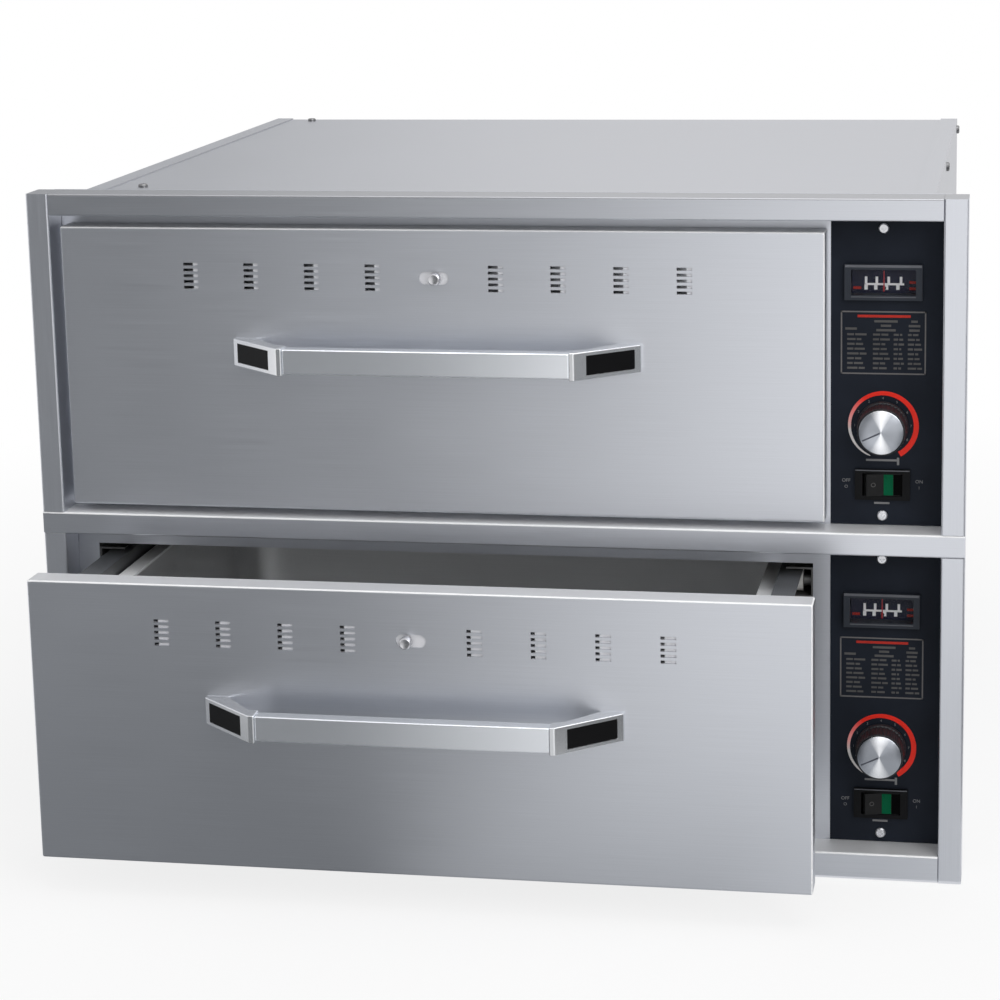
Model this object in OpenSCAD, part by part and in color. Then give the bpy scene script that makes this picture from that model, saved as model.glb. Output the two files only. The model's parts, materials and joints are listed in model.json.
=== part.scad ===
// Two-drawer built-in food warmer: case, trim, controls and two roller drawers.
// Millimetres, +Z up, front of the cabinet faces -Y, origin at the middle of the base.

/* [Cabinet] */
// Width over the trim flange
flange_w = 750; // [710:1:800]
// Height over the trim flange
flange_h = 548; // [530:1:600]
// Depth from the trim face to the back panel
case_d = 640; // [600:1:700]
// How far the flange stands out past the case on each side
case_inset = 27; // [24:1:30]
// How far the case top sits below the flange top
case_drop = 6; // [3:0.5:10]
// Sheet thickness of case, trim and drawer fronts
sheet = 1.2; // [0.8:0.1:1.5]
// Thickness of the recessed face plate
face_t = 1.5; // [1.2:0.1:2]
// Width of the side flanges folded over the top
top_lap = 16; // [10:1:30]
// Height of the flanges folded down from the top panel
top_fold = 18; // [14:1:24]
// Width of the flange folded in along the top of the left bay wall
bay_fold = 44; // [40:1:60]

/* [Trim] */
// Depth of the trim, which is how far the face plate is recessed
trim_d = 30; // [28:1:36]
// Width of the side stiles
stile_w = 18.5; // [16:0.5:24]
// Height of the top rail
top_rail = 17.5; // [14:0.5:20]
// Height of the rail between the two drawers
mid_rail = 18.5; // [14:0.5:24]
// Height of the bottom rail
bottom_rail = 22; // [18:0.5:26]
// How far the face plate reaches past the trim walls
face_lap = 4; // [2:0.5:6]

/* [Controls] */
// Width of the black control plates
control_w = 87.5; // [82:0.5:96]
// Thickness of the control plates
panel_t = 2; // [1.5:0.1:2.5]
// Sideways offset of the controls from the plate middle
control_off = -3; // [-5:0.5:5]
// Height of the switch above the rail
switch_z = 33; // [30:1:36]
// Height of the thermostat knob above the rail
dial_z = 80; // [76:1:84]
// Depth of the thermometer middle below the plate top
gauge_drop = 51; // [48:0.25:60]
// Diameter of the knob cap
knob_d = 36; // [30:1:40]
// How far the knob stands off the control plate
knob_reach = 26; // [20:1:32]
// Width of the thermometer bezel
gauge_w = 60; // [54:1:64]
// Height of the thermometer bezel
gauge_h = 28; // [24:1:32]
// Width of the switch bezel
switch_w = 43; // [40:1:48]
// Height of the switch bezel
switch_h = 24.5; // [22:0.5:28]
// Rocker tilt to either side, degrees
rocker_tilt = 8; // [5:1:10]
// Diameter of the rocker pivot
pivot_d = 3; // [2.5:0.5:3.5]
// Depth of the switch behind the plate
switch_depth = 24; // [20:1:30]
// Depth of the thermometer behind the plate
gauge_depth = 30; // [24:1:36]
// Width of the thermostat body
thermo_w = 44; // [40:1:50]
// Height of the thermostat body
thermo_h = 40; // [34:1:46]
// Depth of the thermostat body
thermo_d = 30; // [26:1:40]
// Diameter of the thermostat bushing
bush_d = 9; // [8.5:0.5:10]
// Height of the lower plate screw above the rail
screw_low = 8; // [6:0.5:9]
// Depth of the upper plate screw below the plate top
screw_high = 9; // [8:0.5:14]

/* [Screws] */
// Head diameter of every screw
head_d = 8; // [7:0.5:9]
// Head height of every screw
head_h = 2.6; // [2:0.1:3]
// Shank diameter of every screw
shank_d = 4; // [3:0.5:5]
// Shank length of every screw
shank_l = 4.5; // [4:0.1:4.8]
// Distance of the top screws from the case side
screw_in = 40; // [36:1:44]
// Distance of the front top screw from the face plate
screw_front = 62; // [40:1:90]
// Distance of the rear screws from the back
screw_back = 15; // [12:1:30]
// Depth of the side screws below the case top
screw_drop = 8; // [6:0.5:10]

/* [Cord inlet] */
// Height of the cord inlet above the base
inlet_z = 70; // [60:1:90]
// Thread diameter of the cord inlet
inlet_d = 20; // [16:1:24]
// Bore of the cord inlet
inlet_bore = 11; // [9:0.5:12]

/* [Drawer front] */
// How far the drawer front sits behind the trim face
front_set = 6; // [3:0.5:8]
// Gap left of the drawer front
gap_left = 6.5; // [4:0.5:10]
// Gap between drawer front and control plate
gap_right = 3; // [3:0.5:8]
// Gap below the drawer front
gap_low = 6; // [4:0.5:10]
// Gap above the drawer front
gap_high = 9.5; // [8:0.5:14]
// How far the drawer front covers the opening at each side
front_lap = 11; // [9:0.5:14]
// How far the drawer front covers the opening below
lap_low = 7; // [5:0.5:10]
// How far the drawer front covers the opening above
lap_high = 5.5; // [4:0.25:8]
// How far the lower drawer stands open as drawn
lower_open = 112; // [0:1:300]

/* [Vents] */
// Spacing of the vent groups
vent_pitch = 49.8; // [40:0.1:56]
// Length of one vent slot
vent_len = 12; // [8:0.5:14]
// Height of one vent slot
vent_h = 2.4; // [1.5:0.1:2.6]
// Vertical spacing of the slots in a group
vent_step = 4.7; // [4:0.1:5]
// Depth of the vent row below the front top edge
vent_drop = 39; // [34:1:46]
// Length of the slot the vent knob slides in
knob_slot = 24; // [22:0.5:28]
// Height of the slot the vent knob slides in
knob_slot_h = 10.5; // [10:0.1:12]
// Vent setting of the upper drawer, from the slot middle
vent_upper = 1.6; // [-6:0.1:6]
// Vent setting of the lower drawer, from the slot middle
vent_lower = -3; // [-6:0.1:6]

/* [Handle] */
// Length over both handle ends
handle_w = 330; // [260:1:380]
// Length of one handle end along the front
cap_len = 50.5; // [44:0.5:60]
// How far the handle stands off the drawer front
handle_reach = 43; // [36:1:50]
// Height of the handle bar
bar_h = 20; // [16:0.5:26]
// Thickness of the handle bar
bar_t = 13; // [10:0.5:15]
// Depth of the handle below the front top edge
handle_drop = 100; // [90:1:110]

/* [Slides and pan] */
// Length of the pan rim from front to back
pan_d = 400; // [330:1:420]
// Depth of the pan
pan_h = 150; // [65:1:160]
// Wall thickness of the pan
pan_t = 1; // [0.8:0.1:1.5]
// Corner radius of the pan
pan_r = 45; // [30:1:60]
// Thickness of slide channels and drawer rails
rail_t = 1.5; // [1.2:0.1:2]
// Diameter of the drawer rollers
rear_d = 20; // [18:0.5:22]
// Diameter of the cabinet rollers
front_d = 18; // [16:0.5:19]
// Space between the opening top and the drawer rollers
track_drop = 7; // [6:0.5:12]
// Width of every roller
roller_w = 10; // [8:0.5:12]
// Pin diameter of every roller
pin_d = 6; // [5:0.5:7]
// Radial running clearance of pins in bores
run = 0.05; // [0.03:0.01:0.08]

/* [Heaters] */
// Diameter of the heater tube
tube_d = 8; // [6:0.5:10]
// Radius of the heater bend
bend_r = 150; // [110:1:165]
// Height of the heater above the rail level
heater_z = 22; // [18:1:28]
// Distance of the bend from the drawer middle
bend_off = 100; // [60:1:130]

/* [Hidden] */
$fn = 48;
tiny = 0.01;
cut = 1;
slip = 0.3;
recess = flange_w / 2 - stile_w;
bay_h = (flange_h - top_rail - mid_rail - bottom_rail) / 2;
pitch = bay_h + mid_rail;
function datum(u) = bottom_rail + u * pitch;
function opened(u) = (1 - u) * -lower_open;
function vent_set(u) = u * vent_upper + (1 - u) * vent_lower;
case_x = flange_w / 2 - case_inset;
case_z = flange_h - case_drop;
face_y = trim_d;
case_y = face_y + face_t;
plate_x = recess + sheet + face_lap;
panel_x0 = recess - control_w;
panel_y = face_y - panel_t;
control_x = panel_x0 + control_w / 2 + control_off;
front_w = 2 * recess - control_w - gap_left - gap_right;
front_x = front_w / 2;
front_h = bay_h - gap_low - gap_high;
drawer_x = -recess + gap_left + front_x;
front_top = gap_low + front_h;
seal_gap = 0.8;
inner_y = face_y - seal_gap - sheet;
inner_edge = 1.5;
back_y = inner_y + sheet;
open_x = front_x - front_lap;
open_z0 = gap_low + lap_low;
open_z1 = front_top - lap_high;
gauge_z = bay_h - gauge_drop;
hole_edge = 5;
hole_x = gauge_w / 2 + hole_edge;
hole_z = [switch_z - switch_h / 2 - hole_edge, gauge_z + gauge_h / 2 + hole_edge];
plate_screws = [screw_low, bay_h - screw_high];
top_screws = [case_y + screw_front, case_d - screw_back];
side_screws = [case_d / 2, case_d - screw_back];
screw_hole = shank_d + 2 * slip;
head_chamfer = 0.8;
slot_l = 4.4;
slot_w = 1;
slot_d = 1.2;
inlet_in = 14;
inlet_nut = 10;
inlet_dome = 6;
nut_over = 10;
dome_over = 2;
lift = 0.8;
play = 1;
stud = 7;
shoulder = 4;
pin_head = 3;
head_len = 2;
lip_in = 3;
web_gap = 6.5;
rim_gap = 2.5;
track_z = open_z1 - rear_d - track_drop;
rail_z = track_z + lift + front_d + slip;
track_top = rail_z + rail_t + play;
track_x = open_x - rail_t;
roller_x1 = track_x - stud;
roller_x0 = roller_x1 - roller_w;
web_x1 = roller_x0 - web_gap;
web_x0 = web_x1 - rail_t;
web_drop = 18;
web_low = track_z - web_drop;
web_end = 10;
rim_x = web_x0 - rim_gap;
ledge = 10;
ledge_rise = 9;
ledge_z = track_z + ledge_rise;
pan_front = 8;
pan_rear = 6;
pan_slack = 1.5;
pan_y0 = back_y + pan_front;
pan_y1 = pan_y0 + pan_d;
frame_y1 = pan_y1 + pan_rear;
axle_back = 16;
axle_front = 12;
rear_y = frame_y1 + axle_back;
rear_z = track_z + rear_d / 2 + slip;
front_y = case_y + axle_front;
front_z = track_z + lift + front_d / 2;
track_over = 20;
track_len = rear_y + track_over - case_y;
vent_x = 4 * vent_pitch + vent_len / 2;
vent_z = front_top - vent_drop;
vent_half = 2 * vent_step + vent_h / 2;
shutter_edge = 6;
shutter_over = 12;
guide_over = 22;
guide_lip = 3;
shutter_z = vent_half + shutter_edge;
shutter_y = front_set + sheet + slip;
vent_travel = vent_len / 2;
grip_d = 12;
grip_len = 8;
grip_gap = 0.4;
neck_gap = 1.5;
rivet_d = 4;
bar_z = front_top - handle_drop;
bar_x = handle_w / 2 - cap_len;
bar_y = front_set - handle_reach;
bar_chamfer = 1.5;
cap_over = 1;
cap_h = bar_h + 2 * cap_over;
cap_nose = 4;
cap_edge = 4;
cap_foot = 18;
cap_heel = 8;
knob_gap = 2;
skirt_over = 2;
skirt_t = 4;
knob_step = 1;
knob_face = 4;
stem_in = 15;
stem_bore = 20;
pointer_w = 1.6;
pointer_t = 0.8;
pointer_in = 4;
pointer_turn = -135;
bush_out = 1.5;
gauge_rim = 4;
gauge_lip_x = 3;
gauge_lip_z = 2.5;
glass_x = 5;
glass_z = 4;
glass_d = 8;
needle_set = 5;
needle_y = panel_y + needle_set;
needle_t = 1;
needle_w = 1.2;
needle_top = 6;
needle_hub = 5;
needle_pin = 2;
needle_rise = 8;
needle_z = needle_rise - gauge_h / 2;
needle_in = 17;
switch_rim = 3;
switch_lip_x = 3;
switch_lip_z = 1.75;
pivot_in = 3;
pivot_y = panel_y + pivot_in;
pivot_over = 1.4;
pivot_wall = 1;
rocker_side = 6.5;
rocker_edge = 3.5;
rocker_r = switch_w / 2 - rocker_side;
rocker_h = switch_h / 2 - rocker_edge;
rocker_room = 0.6;
rocker_swing = 0.4;
rocker_tip = 7.2;
rocker_dip = 5.4;
rocker_back = 3;
tube_out = 8;
collar_t = 3;
collar_over = 6;
pin_len = 10;
post_less = 2;
bend_x = drawer_x - bend_off;
tube_y = (case_y + rear_y) / 2;

// Helpers: everything is drawn from the trim face, then moved to the base middle.
module from_front() {
    translate([0, -case_d / 2, 0]) children();
}

module block(x, y, z) {
    translate([x[0], y[0], z[0]]) cube([x[1] - x[0], y[1] - y[0], z[1] - z[0]]);
}

module rod_x(x, y, z, d) {
    translate([x[0], y, z]) rotate([0, 90, 0]) cylinder(d = d, h = x[1] - x[0]);
}

module rod_y(x, y, z, d) {
    translate([x, y[0], z]) rotate([-90, 0, 0]) cylinder(d = d, h = y[1] - y[0]);
}

module rod_z(x, y, z, d) {
    translate([x, y, z[0]]) cylinder(d = d, h = z[1] - z[0]);
}

module round_block(x, y, z, r) {
    block([x[0] + r, x[1] - r], y, z);
    block(x, [y[0] + r, y[1] - r], z);
    for (cx = [x[0] + r, x[1] - r]) {
        for (cy = [y[0] + r, y[1] - r]) {
            rod_z(cx, cy, z, 2 * r);
        }
    }
}

module at_unit(u) {
    from_front() translate([0, 0, datum(u)]) children();
}

module at_drawer(u) {
    from_front() translate([drawer_x, opened(u), datum(u)]) children();
}

// Trim: folded channel pieces, face in front, returns running back to the face plate.
module flange_edge(z) {
    outer = flange_w / 2;
    block([outer - sheet, outer], [0, case_y], z);
    block([plate_x, outer], [case_y - sheet, case_y], z);
}

module stile(s, z) {
    mirror([s > 0 ? 0 : 1, 0, 0]) {
        block([recess, flange_w / 2], [0, sheet], z);
        block([recess, recess + sheet], [0, trim_d], z);
        flange_edge(z);
    }
}

module trim_upper() {
    color("silver") from_front() {
        for (s = [-1, 1]) {
            stile(s, [datum(1), flange_h]);
        }
        block([-recess, recess], [0, sheet], [flange_h - top_rail, flange_h]);
        block([-flange_w / 2, flange_w / 2], [0, trim_d], [flange_h - sheet, flange_h]);
        block([-recess, recess], [0, trim_d], [flange_h - top_rail, flange_h - top_rail + sheet]);
    }
}

module trim_mid() {
    outer = flange_w / 2;
    z0 = datum(1) - mid_rail;
    z1 = datum(1);
    color("silver") from_front() {
        block([-outer, outer], [0, sheet], [z0, z1]);
        block([-recess, recess], [0, trim_d], [z0, z0 + sheet]);
        block([-recess, recess], [0, trim_d], [z1 - sheet, z1]);
        for (m = [0, 1]) {
            mirror([m, 0, 0]) flange_edge([z0, z1]);
        }
    }
}

module trim_lower() {
    color("silver") from_front() {
        for (s = [-1, 1]) {
            stile(s, [0, datum(1) - mid_rail]);
        }
        block([-recess, recess], [0, sheet], [0, bottom_rail]);
        block([-flange_w / 2, flange_w / 2], [0, trim_d], [0, sheet]);
        block([-recess, recess], [0, trim_d], [bottom_rail - sheet, bottom_rail]);
    }
}

// Face plate: one opening per drawer and one per control plate.
module front_frame() {
    through = [face_y - cut, case_y + cut];
    color("lightgray") from_front() difference() {
        block([-plate_x, plate_x], [face_y, case_y], [0, flange_h]);
        for (u = [0, 1]) {
            translate([0, 0, datum(u)]) {
                block([drawer_x - open_x, drawer_x + open_x], through, [open_z0, open_z1]);
                block([control_x - hole_x, control_x + hole_x], through, hole_z);
                plate_screw_holes(through);
            }
        }
    }
}

module plate_screw_holes(y) {
    for (z = plate_screws) {
        rod_y(control_x, y, z, screw_hole);
    }
}

// Case: five sheets butted against each other, the sides fold over the top.
module side_screw_holes(x) {
    for (y = side_screws) {
        rod_x(x, y, case_z - screw_drop, screw_hole);
    }
}

module top_screw_holes(z) {
    for (y = top_screws) {
        rod_z(-case_x + screw_in, y, z, screw_hole);
    }
}

module top_panel() {
    x = case_x - sheet;
    fold = [case_z - top_fold, case_z];
    color("gainsboro") from_front() difference() {
        union() {
            block([-x, x], [case_y, case_d], [case_z - sheet, case_z]);
            for (m = [0, 1]) {
                mirror([m, 0, 0]) block([x - sheet, x], [case_y, case_d - sheet], fold);
            }
        }
        top_screw_holes([case_z - sheet - cut, case_z + cut]);
        for (m = [0, 1]) {
            mirror([m, 0, 0]) side_screw_holes([x - sheet - cut, x + cut]);
        }
    }
}

module side(s) {
    color("silver") from_front() mirror([s > 0 ? 0 : 1, 0, 0]) difference() {
        union() {
            block([case_x - sheet, case_x], [case_y, case_d], [0, case_z + sheet]);
            block([case_x - top_lap, case_x], [case_y, case_d], [case_z, case_z + sheet]);
        }
        side_screw_holes([case_x - sheet - cut, case_x + cut]);
    }
}

module left_side() {
    side(-1);
}

module right_side() {
    side(1);
}

module base_panel() {
    x = case_x - sheet;
    color("silver") from_front() block([-x, x], [case_y, case_d], [0, sheet]);
}

module back_panel() {
    x = case_x - sheet;
    color("silver") from_front() difference() {
        block([-x, x], [case_d - sheet, case_d], [sheet, case_z - sheet]);
        rod_y(control_x, [case_d - sheet - cut, case_d + cut], inlet_z, inlet_d + 2 * slip);
    }
}

module bay_wall(x) {
    block(x, [case_y, case_d - sheet], [sheet, case_z - sheet]);
}

module bay_left() {
    x = drawer_x - open_x - sheet;
    top = case_z - sheet;
    color("darkgray") from_front() difference() {
        union() {
            bay_wall([x, x + sheet]);
            block([x, x + bay_fold], [case_y, case_d - sheet], [top - sheet, top]);
        }
        top_screw_holes([top - sheet - cut, top + cut]);
    }
}

module control_wall() {
    x = drawer_x + open_x;
    through = [x - cut, x + sheet + cut];
    color("darkgray") from_front() difference() {
        bay_wall([x, x + sheet]);
        for (u = [0, 1]) {
            for (s = [-1, 1]) {
                rod_x(through, tube_y + s * bend_r, datum(u) + heater_z, tube_d + 2 * slip);
            }
        }
    }
}

module mid_shelf() {
    x = [drawer_x - open_x, drawer_x + open_x];
    color("darkgray") from_front() block(x, [case_y, case_d - sheet], [pitch, pitch + sheet]);
}

// Slide channels with the fixed stud of the front roller, drawn for the right side.
module channel(s, u) {
    color("lightsteelblue") at_unit(u) translate([drawer_x, 0, 0]) mirror([s > 0 ? 0 : 1, 0, 0]) {
        y = [case_y, case_y + track_len];
        inside = roller_x0 - lip_in;
        block([track_x, open_x], y, [track_z - rail_t, track_top + rail_t]);
        block([inside, open_x], y, [track_z - rail_t, track_z]);
        block([inside, open_x], y, [track_top, track_top + rail_t]);
        rod_x([roller_x1 + slip, track_x + tiny], front_y, front_z, pin_d + shoulder);
        rod_x([inside + tiny, roller_x1 + slip + tiny], front_y, front_z, pin_d);
        rod_x([inside, roller_x0 - slip], front_y, front_z, pin_d + pin_head);
    }
}

module channel_lu() {
    channel(-1, 1);
}

module channel_ru() {
    channel(1, 1);
}

module channel_ll() {
    channel(-1, 0);
}

module channel_rl() {
    channel(1, 0);
}

module roller(d, y, z, s) {
    mirror([s > 0 ? 0 : 1, 0, 0]) difference() {
        rod_x([roller_x0, roller_x1], y, z, d);
        rod_x([roller_x0 - cut, roller_x1 + cut], y, z, pin_d + 2 * run);
    }
}

module front_roller(s, u) {
    color("white") at_unit(u) translate([drawer_x, 0, 0]) roller(front_d, front_y, front_z, s);
}

module front_roller_lu() {
    front_roller(-1, 1);
}

module front_roller_ru() {
    front_roller(1, 1);
}

module front_roller_ll() {
    front_roller(-1, 0);
}

module front_roller_rl() {
    front_roller(1, 0);
}

// Heater: one bent tube through the control wall, standing on two posts.
module heater(u) {
    x = drawer_x + open_x;
    floor_z = sheet - bottom_rail;
    color("dimgray") at_unit(u) {
        for (s = [-1, 1]) {
            y = tube_y + s * bend_r;
            rod_x([bend_x, x + tube_out], y, heater_z, tube_d);
            rod_x([x - collar_t, x], y, heater_z, tube_d + collar_over);
            rod_x([x + tube_out - tiny, x + tube_out + pin_len], y, heater_z, tube_d / 2);
            rod_z(drawer_x, y, [floor_z, heater_z], tube_d - post_less);
        }
        translate([bend_x, tube_y, heater_z]) rotate([0, 0, 90]) {
            rotate_extrude(angle = 180) translate([bend_r, 0]) circle(d = tube_d);
        }
    }
}

module heater_upper() {
    heater(1);
}

module heater_lower() {
    heater(0);
}

// Cable inlet on the back, with its through bore.
module cord_gland() {
    nut_y = case_d + inlet_nut;
    end_y = nut_y + inlet_dome;
    color("black") from_front() difference() {
        union() {
            rod_y(control_x, [case_d - inlet_in, case_d + tiny], inlet_z, inlet_d);
            rod_y(control_x, [case_d, nut_y], inlet_z, inlet_d + nut_over);
            rod_y(control_x, [nut_y - tiny, end_y], inlet_z, inlet_d + dome_over);
        }
        rod_y(control_x, [case_d - inlet_in - cut, end_y + cut], inlet_z, inlet_bore);
    }
}

// Screws: cross-slotted heads on the control plates, the top and both sides.
module screw() {
    long = [-slot_l / 2, slot_l / 2];
    short = [-slot_w / 2, slot_w / 2];
    difference() {
        union() {
            rod_z(0, 0, [0, head_h - head_chamfer], head_d);
            translate([0, 0, head_h - head_chamfer]) {
                cylinder(d1 = head_d, d2 = head_d - 2 * head_chamfer, h = head_chamfer);
            }
            rod_z(0, 0, [-shank_l, tiny], shank_d);
        }
        for (turn = [0, 90]) {
            rotate([0, 0, turn]) block(long, short, [head_h - slot_d, head_h + cut]);
        }
    }
}

module screws() {
    color("white") from_front() {
        for (u = [0, 1]) {
            for (z = plate_screws) {
                translate([control_x, panel_y, datum(u) + z]) rotate([90, 0, 0]) screw();
            }
        }
        for (y = top_screws) {
            translate([-case_x + screw_in, y, case_z]) screw();
        }
        for (s = [-1, 1]) {
            for (y = side_screws) {
                translate([s * case_x, y, case_z - screw_drop]) rotate([0, s * 90, 0]) screw();
            }
        }
    }
}

// Control plates and what is mounted in them.
module panel(u) {
    through = [panel_y - cut, face_y + cut];
    switch_x = switch_w / 2 - switch_lip_x + slip;
    switch_top = switch_h / 2 - switch_lip_z + slip;
    gauge_x = gauge_w / 2 - gauge_lip_x + slip;
    gauge_top = gauge_h / 2 - gauge_lip_z + slip;
    color("black") at_unit(u) difference() {
        block([panel_x0, recess - slip], [panel_y, face_y], [slip, bay_h - slip]);
        plate_screw_holes(through);
        translate([control_x, 0, 0]) {
            rod_y(0, through, dial_z, bush_d + 2 * slip);
            block([-switch_x, switch_x], through, [switch_z - switch_top, switch_z + switch_top]);
            block([-gauge_x, gauge_x], through, [gauge_z - gauge_top, gauge_z + gauge_top]);
        }
    }
}

module panel_upper() {
    panel(1);
}

module panel_lower() {
    panel(0);
}

module thermostat(u) {
    x = thermo_w / 2;
    z = thermo_h / 2;
    color("saddlebrown") at_unit(u) translate([control_x, 0, dial_z]) difference() {
        union() {
            block([-x, x], [face_y, face_y + thermo_d], [-z, z]);
            rod_y(0, [panel_y - bush_out, face_y + tiny], 0, bush_d);
        }
        rod_y(0, [panel_y - bush_out - cut, face_y + stem_bore], 0, pin_d + 2 * run);
    }
}

module thermostat_upper() {
    thermostat(1);
}

module thermostat_lower() {
    thermostat(0);
}

module knob(u) {
    y0 = panel_y - knob_reach;
    y1 = panel_y - knob_gap;
    skirt_y = y1 - skirt_t;
    color("dimgray") at_unit(u) translate([control_x, 0, dial_z]) difference() {
        union() {
            rod_y(0, [skirt_y, y1], 0, knob_d + 2 * skirt_over);
            rod_y(0, [y0 + knob_face, skirt_y + tiny], 0, knob_d + 2 * knob_step);
            rod_y(0, [y0, y0 + knob_face + tiny], 0, knob_d);
            rod_y(0, [y1 - tiny, face_y + stem_in], 0, pin_d);
        }
        rotate([0, pointer_turn, 0]) {
            block([-pointer_w / 2, pointer_w / 2], [y0 - cut, y0 + pointer_t], [pointer_in, knob_d]);
        }
    }
}

module knob_upper() {
    knob(1);
}

module knob_lower() {
    knob(0);
}

module gauge(u) {
    body_x = gauge_w / 2 - gauge_lip_x;
    body_z = gauge_h / 2 - gauge_lip_z;
    window_x = gauge_w / 2 - glass_x;
    window_z = gauge_h / 2 - glass_z;
    color("darkslategray") at_unit(u) translate([control_x, 0, gauge_z]) difference() {
        union() {
            block([-gauge_w / 2, gauge_w / 2], [panel_y - gauge_rim, panel_y], [-gauge_h / 2, gauge_h / 2]);
            block([-body_x, body_x], [panel_y - tiny, panel_y + gauge_depth], [-body_z, body_z]);
        }
        block([-window_x, window_x], [panel_y - gauge_rim - cut, panel_y + glass_d], [-window_z, window_z]);
        rod_y(0, [panel_y + glass_d - cut, panel_y + needle_in + cut], needle_z, needle_pin + 2 * run);
    }
}

module gauge_upper() {
    gauge(1);
}

module gauge_lower() {
    gauge(0);
}

module needle(u) {
    y = needle_y;
    reach = gauge_h / 2 - needle_z - needle_top;
    color("red") at_unit(u) translate([control_x, 0, gauge_z + needle_z]) {
        rod_y(0, [y, y + 2 * needle_t], 0, needle_hub);
        rod_y(0, [y + needle_t, panel_y + needle_in], 0, needle_pin);
        block([-needle_w / 2, needle_w / 2], [y, y + needle_t], [0, reach]);
    }
}

module needle_upper() {
    needle(1);
}

module needle_lower() {
    needle(0);
}

module switch(u) {
    body_x = switch_w / 2 - switch_lip_x;
    body_z = switch_h / 2 - switch_lip_z;
    well_x = rocker_r + rocker_room;
    well_z = rocker_h + slip;
    x = switch_w / 2;
    z = switch_h / 2;
    color("black") at_unit(u) translate([control_x, 0, switch_z]) difference() {
        union() {
            block([-x, x], [panel_y - switch_rim, panel_y], [-z, z]);
            block([-body_x, body_x], [panel_y - tiny, panel_y + switch_depth], [-body_z, body_z]);
        }
        block([-well_x, well_x], [panel_y - switch_rim - cut, pivot_y], [-well_z, well_z]);
        rod_z(0, pivot_y, [-well_z, well_z], 2 * (rocker_r + rocker_swing));
        rod_z(0, pivot_y, [pivot_wall - z, z - pivot_wall], pivot_d + 2 * run);
    }
}

module switch_upper() {
    switch(1);
}

module switch_lower() {
    switch(0);
}

module rocker(u) {
    r = rocker_r;
    color("dimgray") at_unit(u) translate([control_x, pivot_y, switch_z]) rotate([0, 0, rocker_tilt]) {
        intersection() {
            rod_z(0, 0, [-rocker_h, rocker_h], 2 * r);
            translate([0, 0, -rocker_h - cut]) linear_extrude(height = 2 * (rocker_h + cut)) {
                polygon([
                    [-r, -rocker_tip], [0, -rocker_dip], [r, -rocker_tip],
                    [r, rocker_back], [-r, rocker_back]
                ]);
            }
        }
        rod_z(0, 0, [-rocker_h - pivot_over, rocker_h + pivot_over], pivot_d);
    }
}

module rocker_upper() {
    rocker(1);
}

module rocker_lower() {
    rocker(0);
}

// Drawer front: folded shell with vents, closed behind by an inner plate.
module vent_slots(y, shift) {
    for (k = [-4 : 4]) {
        if (k != 0) {
            for (row = [-2 : 2]) {
                translate([k * vent_pitch + shift, 0, vent_z + row * vent_step]) {
                    block([-vent_len / 2, vent_len / 2], y, [-vent_h / 2, vent_h / 2]);
                }
            }
        }
    }
}

module front_shell(u) {
    y0 = front_set;
    y1 = y0 + sheet;
    reach = vent_x + guide_over;
    through = [y0 - cut, y1 + cut];
    half = (knob_slot - knob_slot_h) / 2;
    inside_x = front_x - sheet;
    inside_z = [gap_low + sheet, front_top - sheet];
    color("lightgray") at_drawer(u) {
        difference() {
            block([-front_x, front_x], [y0, inner_y], [gap_low, front_top]);
            block([-inside_x, inside_x], [y1, inner_y + cut], inside_z);
            vent_slots(through, 0);
            block([-half, half], through, [vent_z - knob_slot_h / 2, vent_z + knob_slot_h / 2]);
            for (x = [-half, half]) {
                rod_y(x, through, vent_z, knob_slot_h);
            }
        }
        for (s = [-1, 1]) {
            translate([0, 0, vent_z]) mirror([0, 0, s > 0 ? 0 : 1]) {
                edge = shutter_z + run;
                lip_y = [y1 + sheet + 2 * slip, y1 + 3 * sheet];
                block([-reach, reach], [y1 - tiny, y1 + 3 * sheet], [edge, edge + sheet]);
                block([-reach, reach], lip_y, [edge - guide_lip, edge + sheet]);
            }
        }
    }
}

module front_upper() {
    front_shell(1);
}

module front_lower() {
    front_shell(0);
}

module inner(u) {
    x = front_x - inner_edge;
    z = [gap_low + inner_edge, front_top - inner_edge];
    color("gray") at_drawer(u) block([-x, x], [inner_y, back_y], z);
}

module inner_upper() {
    inner(1);
}

module inner_lower() {
    inner(0);
}

// Vent shutter: its slots line up with the front when the knob is pushed right.
module shutter(u) {
    y = shutter_y;
    reach = vent_x + shutter_over;
    color("silver") at_drawer(u) translate([vent_set(u), 0, 0]) difference() {
        block([-reach, reach], [y, y + sheet], [vent_z - shutter_z, vent_z + shutter_z]);
        vent_slots([y - cut, y + sheet + cut], -vent_travel);
        rod_y(0, [y - cut, y + sheet + cut], vent_z, rivet_d);
    }
}

module shutter_upper() {
    shutter(1);
}

module shutter_lower() {
    shutter(0);
}

module vent_knob(u) {
    y = shutter_y;
    color("silver") at_drawer(u) translate([vent_set(u), 0, 0]) {
        rod_y(0, [front_set - grip_len, front_set - grip_gap], vent_z, grip_d);
        rod_y(0, [front_set - grip_gap - tiny, y], vent_z, knob_slot_h - neck_gap);
        rod_y(0, [y - tiny, y + sheet + cut], vent_z, rivet_d);
    }
}

module vent_knob_upper() {
    vent_knob(1);
}

module vent_knob_lower() {
    vent_knob(0);
}

// Handle: flat bar between two slanted ends that stand on the drawer front.
module handle(u) {
    c = bar_chamfer;
    h = bar_h / 2;
    color("silver") at_drawer(u) translate([-bar_x, bar_y, bar_z]) rotate([90, 0, 90]) {
        linear_extrude(height = 2 * bar_x) {
            polygon([[0, -h + c], [c, -h], [bar_t, -h], [bar_t, h], [c, h], [0, h - c]]);
        }
    }
}

module handle_upper() {
    handle(1);
}

module handle_lower() {
    handle(0);
}

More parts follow.
